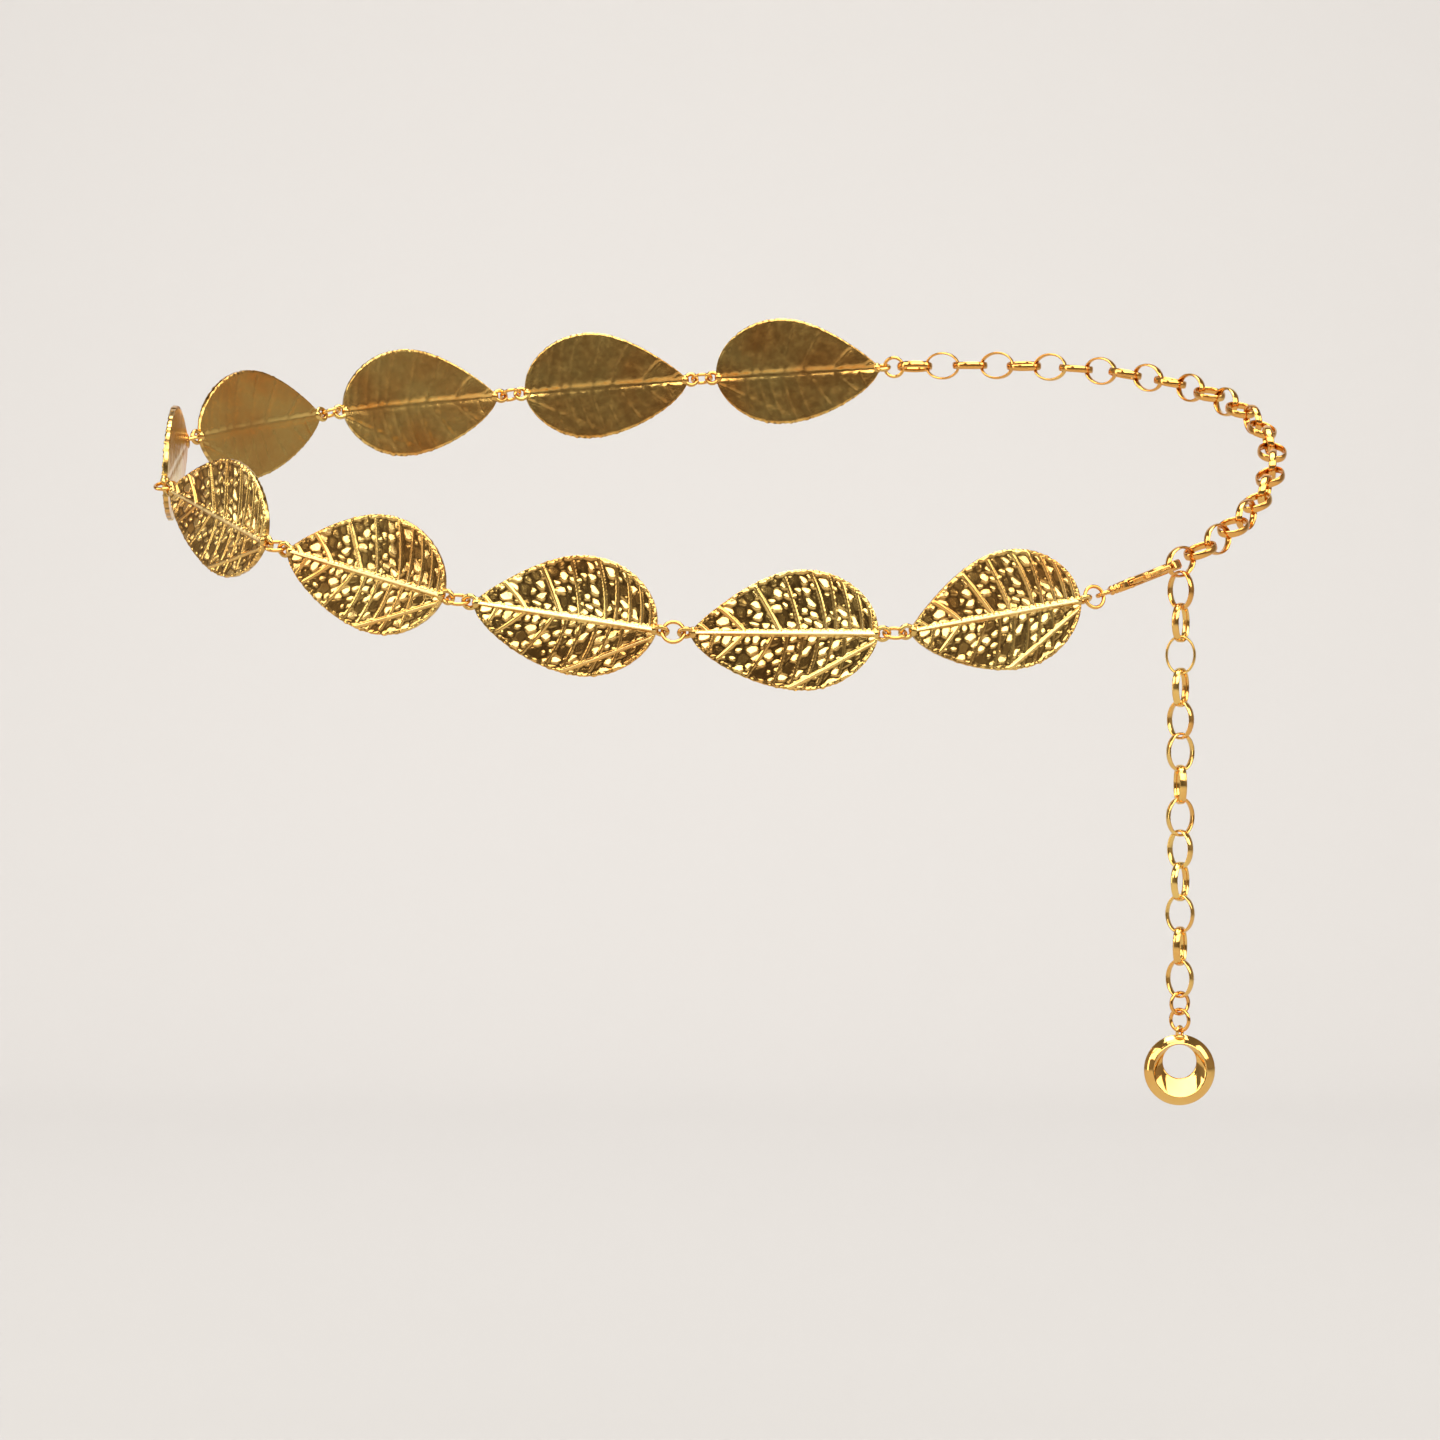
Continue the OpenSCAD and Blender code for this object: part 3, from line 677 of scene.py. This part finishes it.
def sagOf(radius, halfSpan):
    # How far a round inside falls away over a span
    return radius - math.sqrt(max(radius * radius - halfSpan * halfSpan, 0))


linkLoss = 2 * sagOf(linkCurve, bite) + ring["play"]
tailPitch = 2 * linkInside - linkLoss

# Stations round the loop: leaves go back from the start, the clasp and the chain go forward from it
startRun = readTable(loop["startAngle"], 0, 1)
baseRuns, tipRuns = [], []
run = startRun
for index in range(leaf["count"]):
    baseRuns.append(run)
    tipRuns.append(strideFrom(run, leafStride, -1))
    run = strideFrom(tipRuns[-1], 2 * ringPull, -1)
claspRun = strideFrom(startRun, ringPull + claspRingPull, 1)
hookLoss = sagOf(linkCurve, clasp["thick"] * clasp["hookBite"]) + sagOf(clasp["width"] / 2 - clasp["wall"], bite)
hookLoss += ring["play"] * clasp["hookPlay"]
hookRun = strideFrom(claspRun, claspEyeRadius + clasp["reach"] - hookLoss + linkLoss / 2, 1)
ringHollow = ringRadius - ring["wire"] / 2
ringInside = ringHollow - sagOf(ringHollow, bite * link["ringBite"]) - ring["play"]
lastTipRun = tipRuns[-1] + loopRun
chainEndRun = strideFrom(lastTipRun, ringInside + ringPull, -1)
beltPitch = (chainEndRun - hookRun) / link["beltCount"]


def beltTurn(index):
    # Every other link stands on edge, and after the clasp each sways a little
    sway = link["sway"] * math.sin(math.radians(link["swayStep"] * index)) if index > 1 else 0
    return 90 * ((index + 1) % 2) + sway


def jointTurn(index):
    if index == leaf["count"]:
        return beltTurn(link["beltCount"] - 1) + ring["lastAcross"]
    return ring["turns"][index]


def eyeMatrix(x, turn):
    return Matrix.Translation((x, 0, 0)) @ turned(90 + turn, "X")


eye = hoop(eyeRadius + leaf["eyeSwell"], leaf["eyeWire"] + 2 * leaf["eyeSwell"], 44, 12)
lugs = [lumpShape(leaf["lugLong"], deep, leaf["lugHigh"]) for deep in leaf["lugDeep"]]
lugPlaces = [(x, -leaf["lugOut"], 0) for x in (eyeOut + leaf["lugAt"], leafSpan - eyeOut - leaf["lugAt"])]
for index in range(leaf["count"]):
    place = alongLine(spotAt(tipRuns[index]), spotAt(baseRuns[index]), -leaf["lean"])
    place = place @ Matrix.Translation((eyeRadius, 0, 0))
    shapes = [
        (place @ Matrix.Translation((eyeOut, 0, 0)), (platePoints, plateFaces)),
        (place @ Matrix.Translation(lugPlaces[0]), lugs[0]),
        (place @ Matrix.Translation(lugPlaces[1]), lugs[1]),
        (place @ eyeMatrix(0, jointTurn(index + 1) * ring["eyeFollow"]), eye),
        (place @ eyeMatrix(leafSpan, jointTurn(index) * ring["eyeFollow"]), eye),
    ]
    points, faces = joinShapes(shapes)
    tones = plateTones + [leaf["lugTone"]] * (len(points) - len(plateTones))
    node = "leaf_%d" % (index + 1)
    makePiece("castLeaf%d" % (index + 1), points, faces, "castLeafGold", "root", [node], tones)
print("ten leaves placed")


def ringAt(name, node, place):
    points, faces = joinShapes([(place, hoop(ringRadius, ring["wire"]))])
    makePiece(name, points, faces, "brightRingGold", "root", [node])


for index in range(1, leaf["count"]):
    place = alongLine(spotAt(baseRuns[index]), spotAt(tipRuns[index - 1]), ring["turns"][index])
    ringAt("jointRing%d" % index, "ring_%d" % index, place @ Matrix.Translation((ringPull, 0, 0)))
place = alongLine(spotAt(chainEndRun), spotAt(lastTipRun), jointTurn(leaf["count"]))
ringAt("jointRing10", "ring_10", place @ Matrix.Translation((ringInside, 0, 0)))
place = alongLine(spotAt(startRun), spotAt(claspRun), ring["turns"][0])
ringAt("claspRing", "clasp_ring", place @ Matrix.Translation((ringPull, 0, 0)))


def bandSection():
    # Flattened wire: nearly flat faces with round edges, a little thinner at its sides
    half, thick = link["band"] / 2, link["thick"] / 2
    section = []
    for j in range(link["sectionSteps"]):
        a = 2 * math.pi * j / link["sectionSteps"]
        c, s = math.cos(a), math.sin(a)
        section.append((thick * math.copysign(abs(c) ** link["faceRound"], c),
                        half * math.copysign(abs(s) ** link["sideRound"], s)))
    return section


def ovalLink():
    longHalf, wideHalf = (link["length"] - link["thick"]) / 2, (link["width"] - link["thick"]) / 2

    def centre(share):
        a = 2 * math.pi * share
        out = Vector((wideHalf * math.cos(a), longHalf * math.sin(a), 0)).normalized()
        return Vector((longHalf * math.cos(a), wideHalf * math.sin(a), 0)), out, Vector((0, 0, 1))
    return sweepLoop(centre, bandSection(), link["steps"])


linkShape = ovalLink()
beltShapes = []
for index in range(link["beltCount"]):
    at = hookRun + index * beltPitch
    place = alongLine(spotAt(at), spotAt(at + beltPitch), beltTurn(index))
    beltShapes.append((place @ Matrix.Translation((beltPitch / 2, 0, 0)), linkShape))
points, faces = joinShapes(beltShapes)
makePiece("beltChain", points, faces, "warmLinkGold", "root", ["belt_chain"])

# The tail hangs straight down from the low side of the belt's first link
tail = {
    "turns": [-46, 62, -10, 64, -44, 28, 98, 26, -48, 60, -30, 70, -38], "footTurns": [32, -38],
}
firstMiddle = (spotAt(hookRun) + spotAt(hookRun + beltPitch)) / 2
tailTop = firstMiddle - Vector((0, 0, linkHalf - sagOf(linkCurve, bite) - ring["play"]))
tailShapes = []
for index in range(link["tailCount"]):
    z = tailTop.z - linkInside - index * tailPitch
    place = Matrix.Translation((tailTop.x, tailTop.y, z)) @ turned(tail["turns"][index], "Z")
    tailShapes.append((place @ turned(90, "X") @ turned(90, "Z"), linkShape))
points, faces = joinShapes(tailShapes)
makePiece("tailChain", points, faces, "polishedLinkGold", "root", ["tail_chain"])

lastLinkZ = tailTop.z - linkInside - (link["tailCount"] - 1) * tailPitch
footZ = lastLinkZ - linkInside + ring["play"] + sagOf(ringHollow, bite * link["ringBite"])
footRingZ = [footZ - ringHollow - i * (2 * ringRadius - ring["wire"] - ring["play"]) for i in (0, 1)]
footRings = [("tailRingUpper", "tail_ring_upper"), ("tailRingLower", "tail_ring_lower")]
for index, (name, node) in enumerate(footRings):
    place = Matrix.Translation((tailTop.x, tailTop.y, footRingZ[index])) @ turned(tail["footTurns"][index], "Z")
    ringAt(name, node, place @ turned(90, "X"))
print("rings and chains placed")

# Round drop with an off-centre hole; its own eye hangs on the lower ring
drop = {
    "across": 19.6, "hole": 9.3, "holeUp": 2.3, "crest": 14.8, "thick": 3.2, "balance": 0.383,
    "eyeWire": 0.9, "eyeRoom": 0.75, "gap": 0.55, "saddle": 2.9, "saddleIn": 0.55, "around": 96,
    "edgeShare": 0.28, "floorShare": 0.34, "bevel": 0.32, "bevelUp": 0.45, "bulge": 0.16, "dish": 0.22,
    "bevelSteps": 8, "dishSteps": 11,
}


def dropShape():
    radius, crest, hole = drop["across"] / 2, drop["crest"] / 2, drop["hole"] / 2
    thick, up = drop["thick"], drop["holeUp"]
    side, floor = thick * drop["edgeShare"], thick * drop["floorShare"]
    bevelRadius, bevelAt = radius - drop["bevel"], side + drop["bevelUp"]
    # Each row is a circle: height above the flat back, radius, and how far up its middle sits
    rows = [(0.0, hole + 0.25, up), (0.0, radius - 0.5, 0), (0.08, radius - 0.22, 0), (0.3, radius, 0),
            (side, radius, 0), (side + 0.16, radius - 0.06, 0), (bevelAt, bevelRadius, 0)]
    for i in range(1, drop["bevelSteps"]):
        s = i / drop["bevelSteps"]
        bulge = drop["bulge"] * math.sin(math.pi * s)
        height = bevelAt + (thick - side - drop["bevelUp"]) * s + bulge / 2
        rows.append((height, bevelRadius - (bevelRadius - crest) * s + bulge, 0))
    rows += [(thick - 0.02, crest + 0.12, 0), (thick - 0.03, crest - 0.14, 0)]
    for i in range(1, drop["dishSteps"]):
        # The funnel from the crest down to the hole is dished
        s = i / drop["dishSteps"]
        sink = drop["dish"] * math.sin(math.pi * s)
        rows.append((thick - (thick - floor) * s - sink, crest + (hole - crest) * s, up * s))
    rows += [(floor - 0.05, hole + 0.02, up), (floor - 0.2, hole - 0.02, up), (0.2, hole, up)]
    points, faces = [], []
    count = drop["around"]
    for height, r, up in rows:
        for i in range(count):
            a = 2 * math.pi * i / count
            points.append(Vector((r * math.cos(a), -height, r * math.sin(a) + up)))
    for k in range(len(rows)):
        n = (k + 1) % len(rows)
        for i in range(count):
            j = (i + 1) % count
            faces.append((k * count + i, k * count + j, n * count + j, n * count + i))
    return points, faces


dropEyeHole = ring["wire"] + drop["eyeRoom"]
dropEyeRadius = (dropEyeHole + drop["eyeWire"]) / 2
dropEyeZ = -(dropEyeHole - ring["wire"]) / 2 + ring["play"]
dropZ = -ring["wire"] / 2 - drop["gap"] - drop["across"] / 2
swing = Matrix.Translation((tailTop.x, tailTop.y, footRingZ[1] - ringRadius))
saddleAt = (0, drop["thick"] * (drop["balance"] - 0.5), dropZ + drop["across"] / 2 - drop["saddleIn"])
eyePlace = swing @ turned(tail["footTurns"][1] + 90, "Z") @ Matrix.Translation((0, 0, dropEyeZ)) @ turned(90, "X")
points, faces = joinShapes([
    (swing @ Matrix.Translation((0, drop["thick"] * drop["balance"], dropZ)), dropShape()),
    (swing @ Matrix.Translation(saddleAt), lumpShape(drop["saddle"] / 2, drop["saddle"] / 2, drop["saddle"] / 4)),
    (eyePlace, hoop(dropEyeRadius, drop["eyeWire"], 40, 12)),
])
makePiece("roundDrop", points, faces, "mirrorDropGold", "drop", ["round_drop"])
print("drop placed")


# The lobster clasp is a casting with every edge rounded, so it is drawn as distances to its surface
noseRadius = clasp["width"] / 2
noseAt = clasp["reach"] + clasp["wall"] - noseRadius
mouthRadius = noseRadius - clasp["wall"]
pinX, pinY = clasp["rootAt"] + clasp["pinAlong"], clasp["pinUp"] - clasp["rootRadius"]
gateStart, gateEnd = pinX + clasp["gateFrom"], noseAt - clasp["gateShort"]
mouthStart = pinX + clasp["boss"] + clasp["mouthBack"]


def pairShape(x, y, x1, r1, x2, r2):
    # Outline round two circles on the X axis
    run = x2 - x1
    lean = (r1 - r2) / run
    rise = math.sqrt(1 - lean * lean)
    u, v = x - x1, np.abs(y)
    side = u * rise - v * lean
    return np.where(side < 0, np.hypot(u, v) - r1,
                    np.where(side > rise * run, np.hypot(u - run, v) - r2, v * rise + u * lean - r1))


def cornerShape(x, y, corners):
    # Distance to a plan with straight sides
    best = np.full(x.shape, 1e9)
    flips = np.ones(x.shape)
    for i, (ax, ay) in enumerate(corners):
        bx, by = corners[i - 1]
        ex, ey = bx - ax, by - ay
        wx, wy = x - ax, y - ay
        share = np.clip((wx * ex + wy * ey) / (ex * ex + ey * ey), 0, 1)
        best = np.minimum(best, (wx - ex * share) ** 2 + (wy - ey * share) ** 2)
        above, below, turn = y >= ay, y < by, ex * wy > ey * wx
        flips = np.where((above & below & turn) | (~above & ~below & ~turn), -flips, flips)
    return flips * np.sqrt(best)


def blendIn(a, b, soft):
    # Union of two forms with a fillet between them
    h = np.clip(0.5 + 0.5 * (b - a) / soft, 0, 1)
    return b + (a - b) * h - soft * h * (1 - h)


def cutOut(a, b, soft):
    return -blendIn(-a, b, soft)


def roundedPlate(plan, z, half, fillet):
    # Plate of a plan's outline, with its edges rounded
    u, v = plan + fillet, np.abs(z) - half + fillet
    outside = np.hypot(np.maximum(u, 0), np.maximum(v, 0))
    return np.minimum(np.maximum(u, v), 0) + outside - fillet


def gateZone(x, y, extra):
    # Stretch of the hook's lower arm that the lever fills
    return np.maximum(np.maximum(gateStart - extra - x, x - gateEnd - extra), y - extra)


def hookPlan(x, y):
    outer = pairShape(x, y, clasp["rootAt"], clasp["rootRadius"], noseAt, noseRadius)
    mouth = pairShape(x, y, mouthStart, clasp["mouthBackRadius"], noseAt, mouthRadius)
    return outer, mouth


def claspBodyField(x, y, z):
    outer, mouth = hookPlan(x, y)
    plan = cutOut(outer, mouth, clasp["mouthSoft"])
    plan = cutOut(plan, gateZone(x, y, clasp["gap"]), clasp["gateSoft"])
    plate = roundedPlate(plan, z, clasp["thick"] / 2, clasp["hookRound"])
    # Slot between the two cheeks for the lever's boss and its tab
    fromPin = np.hypot(x - pinX, y - pinY)
    room = np.maximum(np.maximum(pinX - clasp["boss"] - clasp["gap"] - x, x - gateEnd), y - pinY)
    room = np.minimum(fromPin - clasp["boss"] - clasp["gap"], room)
    room = np.maximum(room, np.abs(z) - clasp["lever"] / 2 - clasp["gap"])
    plate = cutOut(plate, room, clasp["slotSoft"])
    eye = np.hypot(np.hypot(x, y) - claspEyeRadius, z) - clasp["eyeWire"] / 2
    fromAxis = np.hypot(y, z)
    neckEnd = clasp["rootAt"] - clasp["rootRadius"] + clasp["neckIn"]
    neck = np.maximum(fromAxis - clasp["neck"], np.maximum(claspEyeRadius - x, x - neckEnd))
    form = blendIn(blendIn(eye, neck, clasp["neckSoft"]), plate, clasp["rootSoft"])
    for i in range(clasp["beads"]):
        along = x - clasp["beadAt"] - i * clasp["beadPitch"]
        bead = np.hypot(fromAxis - clasp["neck"] + clasp["beadSink"], along) - clasp["beadWire"] / 2
        form = blendIn(form, bead, clasp["beadSoft"])
    pinHalf = clasp["thick"] / 2 + clasp["pinHead"]
    pin = roundedPlate(fromPin - clasp["pin"] / 2, z, pinHalf, clasp["pinRound"])
    return np.minimum(form, pin)


def claspLeverField(x, y, z):
    outer, mouth = hookPlan(x, y)
    fromPin = np.hypot(x - pinX, y - pinY)
    gate = cutOut(outer, mouth, clasp["mouthSoft"])
    # The arm is cut back round the pin, and bounded by the swing round it
    reach = clasp["boss"] + clasp["bossClear"]
    heel = np.maximum(np.maximum(pinX - x, x - pinX - reach),
                      np.maximum(pinY + 0.3 - y, y - pinY - reach))
    gate = cutOut(gate, heel, clasp["heelSoft"])
    gate = -blendIn(-gate, -np.maximum(gateZone(x, y, 0), fromPin - gateEnd + pinX), clasp["endSoft"])
    tab = cornerShape(x, y, [(pinX, pinY), (pinX + 2.4, pinY - 1), (pinX + 3, -noseRadius - 1.2),
                             (pinX + 1, -noseRadius - 1.6), (pinX - 0.5, pinY - clasp["boss"] + 0.2)])
    plan = blendIn(blendIn(fromPin - clasp["boss"], gate, clasp["mouthSoft"]), tab, clasp["tabSoft"])
    plate = roundedPlate(plan, z, clasp["lever"] / 2, clasp["leverRound"])
    pad = cornerShape(x, y, [(pinX + 1.1, -noseRadius - 0.4), (pinX + 2.9, -noseRadius),
                             (pinX + 3.2, -noseRadius - 1.4), (pinX + 0.9, -noseRadius - 1.8)])
    grip = clasp["gripDeep"] * np.cos((x - pinX) * clasp["gripFine"]) * (np.abs(z) < clasp["gripHalf"])
    form = blendIn(plate, roundedPlate(pad, z, clasp["thick"] * 0.4, clasp["padRound"]) + grip, clasp["neckSoft"])
    return np.maximum(form, clasp["pin"] / 2 + clasp["pinRoom"] - fromPin)


def castShape(field, low, high):
    # Mesh of a field: one point in each cell that its surface crosses
    step = clasp["grid"]
    axes = [np.arange(a, b, step) for a, b in zip(low, high)]
    grids = np.meshgrid(*axes, indexing="ij")
    values = field(*grids)
    cells = [n - 1 for n in values.shape]
    total, count = np.zeros(cells + [3]), np.zeros(cells)
    crossings = []
    for axis in range(3):
        first = [slice(None)] * 3
        second = [slice(None)] * 3
        first[axis], second[axis] = slice(0, -1), slice(1, None)
        a, b = values[tuple(first)], values[tuple(second)]
        where = np.argwhere((a < 0) != (b < 0))
        va, vb = a[tuple(where.T)], b[tuple(where.T)]
        spots = where * step + np.array(low)
        spots[:, axis] += step * va / (va - vb)
        u, v = (axis + 1) % 3, (axis + 2) % 3
        corners = []
        for du, dv in ((0, 0), (-1, 0), (-1, -1), (0, -1)):
            cell = where.copy()
            cell[:, u] += du
            cell[:, v] += dv
            np.add.at(total, tuple(cell.T), spots)
            np.add.at(count, tuple(cell.T), 1)
            corners.append(cell)
        crossings.append((corners, va < 0))
    used = count > 0
    number = np.cumsum(used.ravel()).reshape(count.shape) - 1
    places = total[used] / count[used][:, None]
    faces = []
    for corners, outward in crossings:
        quad = np.stack([number[tuple(c.T)] for c in corners], axis=1)
        quad[~outward] = quad[~outward][:, ::-1]
        faces += [tuple(int(i) for i in q) for q in quad]
    return [Vector(p) for p in places], faces


claspPlace = alongLine(spotAt(claspRun), spotAt(hookRun), clasp["turn"])
claspPlace = claspPlace @ Matrix.Translation((claspEyeRadius, 0, 0))
claspBox = ((-2.8, -noseRadius - 0.4, -2.0), (noseAt + noseRadius + 0.4, noseRadius + 0.4, 2.0))
leverBox = ((pinX - 2.2, -noseRadius - 2.3, -1.6), (gateEnd + 0.6, 1.2, 1.6))
for name, node, body, field, box in (("claspBody", "clasp_body", "root", claspBodyField, claspBox),
                                     ("claspLever", "clasp_lever", "lever", claspLeverField, leverBox)):
    points, faces = joinShapes([(claspPlace, castShape(field, *box))])
    makePiece(name, points, faces, "claspGold", body, [node])
    print(name, "cast,", len(faces), "faces")

# Pale paper that rises behind into a backdrop; the floor part lies under the lamps, so it is painted greyer than
# the wall as painted shade that evens out the lamps' light on it
stage = {
    "floorAt": -0.30, "near": -2.8, "bendAt": 1.2, "bendRadius": 0.8, "bendSteps": 16, "top": 2.6, "half": 3.2,
    "floorShadedPaper": (0.43, 0.42, 0.41, 1), "wallPaper": (0.585, 0.571, 0.558, 1), "turnsAt": (0.2, 1.3),
    "rough": 0.8,
}


def stageMesh():
    line = [(stage["near"], stage["floorAt"]), (stage["bendAt"], stage["floorAt"])]
    for i in range(1, stage["bendSteps"] + 1):
        a = math.pi / 2 * i / stage["bendSteps"]
        line.append((stage["bendAt"] + stage["bendRadius"] * math.sin(a),
                     stage["floorAt"] + stage["bendRadius"] * (1 - math.cos(a))))
    line.append((stage["bendAt"] + stage["bendRadius"], stage["top"]))
    points = [Vector((side * stage["half"], y, z)) for y, z in line for side in (-1, 1)]
    faces = [(2 * i, 2 * i + 1, 2 * i + 3, 2 * i + 2) for i in range(len(line) - 1)]
    mesh = bpy.data.meshes.new("paleStage")
    mesh.from_pydata(points, [], faces)
    mesh.polygons.foreach_set("use_smooth", [True] * len(mesh.polygons))
    paper = bpy.data.materials.new("palePaper")
    paper.use_nodes = True
    nodes, links = paper.node_tree.nodes, paper.node_tree.links
    shader = nodes["Principled BSDF"]
    place = nodes.new("ShaderNodeTexCoord")
    split = nodes.new("ShaderNodeSeparateXYZ")
    links.new(place.outputs["Object"], split.inputs["Vector"])
    turn = rangeNode(nodes, *stage["turnsAt"])
    links.new(split.outputs["Y"], turn.inputs["Value"])
    mix = nodes.new("ShaderNodeMix")
    mix.data_type = "RGBA"
    # Painted shade: the floor's paper is greyer than the wall's
    mix.inputs[6].default_value = stage["floorShadedPaper"]
    mix.inputs[7].default_value = stage["wallPaper"]
    links.new(turn.outputs["Result"], mix.inputs[0])
    links.new(mix.outputs[2], shader.inputs["Base Color"])
    shader.inputs["Roughness"].default_value = stage["rough"]
    mesh.materials.append(paper)
    floor = addObject("paleStage", mesh)


stageMesh()

# Soft studio light: name, place, what it looks at, width and height, power, colour
atChain, atWall = (0, 0, -0.04), (0, 1.8, 0.1)
lamps = [
    ("mainBox", (0.1, -1.3, 0.95), atChain, (2.2, 1.1), 33, (1.0, 0.98, 0.94)),
    ("topBox", (0.0, -0.3, 1.4), atChain, (1.0, 1.0), 10, (1.0, 0.98, 0.95)),
    ("rightBox", (1.5, -0.6, 0.75), atChain, (0.9, 0.9), 9, (1.0, 0.97, 0.93)),
    ("leftBox", (-1.5, -0.55, 0.85), atChain, (1.1, 0.9), 12, (1.0, 0.96, 0.9)),
    ("leftStrip", (-1.6, -0.2, 0.05), atChain, (0.3, 0.9), 3, (1.0, 0.97, 0.92)),
    ("backdropLight", (0.0, 0.4, 2.2), atWall, (1.8, 1.8), 46, (1.0, 1.0, 1.0)),
]
for name, spot, aim, size, power, tone in lamps:
    data = bpy.data.lights.new(name, "AREA")
    data.shape = "RECTANGLE"
    data.size, data.size_y = size
    data.energy = power
    data.color = tone
    lamp = addObject(name, data)
    lamp.location = spot
    lamp.visible_camera = False
    lamp.rotation_euler = (Vector(aim) - Vector(spot)).to_track_quat("-Z", "Y").to_euler()

# The room is dim in front and behind, and lighter to both sides
roomGlow = {"dim": 0.25, "sides": 0.38, "colour": (0.55, 0.48, 0.42, 1)}
room = bpy.data.worlds.new("softRoom")
room.use_nodes = True
nodes, links = room.node_tree.nodes, room.node_tree.links
nodes["Background"].inputs["Color"].default_value = roomGlow["colour"]
way = nodes.new("ShaderNodeTexCoord")
split = nodes.new("ShaderNodeSeparateXYZ")
links.new(way.outputs["Generated"], split.inputs["Vector"])
square = nodes.new("ShaderNodeMath")
square.operation = "MULTIPLY"
links.new(split.outputs["X"], square.inputs[0])
links.new(split.outputs["X"], square.inputs[1])
glow = nodes.new("ShaderNodeMath")
glow.operation = "MULTIPLY_ADD"
glow.inputs[1].default_value = roomGlow["sides"]
glow.inputs[2].default_value = roomGlow["dim"]
links.new(square.outputs["Value"], glow.inputs[0])
links.new(glow.outputs["Value"], nodes["Background"].inputs["Strength"])
bpy.context.scene.world = room

# Camera at the photograph's angle: almost level with the chain's front, tilted a little down
camera = {"away": 1.5, "side": 0.00153, "up": -0.0224, "lens": 130.4, "tilt": 1.592, "sensor": 36, "nearest": 0.05}
cameraData = bpy.data.cameras.new("photoCamera")
cameraData.sensor_width = camera["sensor"]
cameraData.lens = camera["lens"]
cameraData.clip_start = camera["nearest"]
photoCamera = addObject("photoCamera", cameraData)
photoCamera.location = (camera["side"], -camera["away"], camera["up"])
photoCamera.rotation_euler = (math.radians(90 - camera["tilt"]), 0, 0)
bpy.context.scene.camera = photoCamera
bpy.context.scene.view_settings.view_transform = "Standard"
print("stage, lamps and camera set")

bpy.context.view_layer.update()
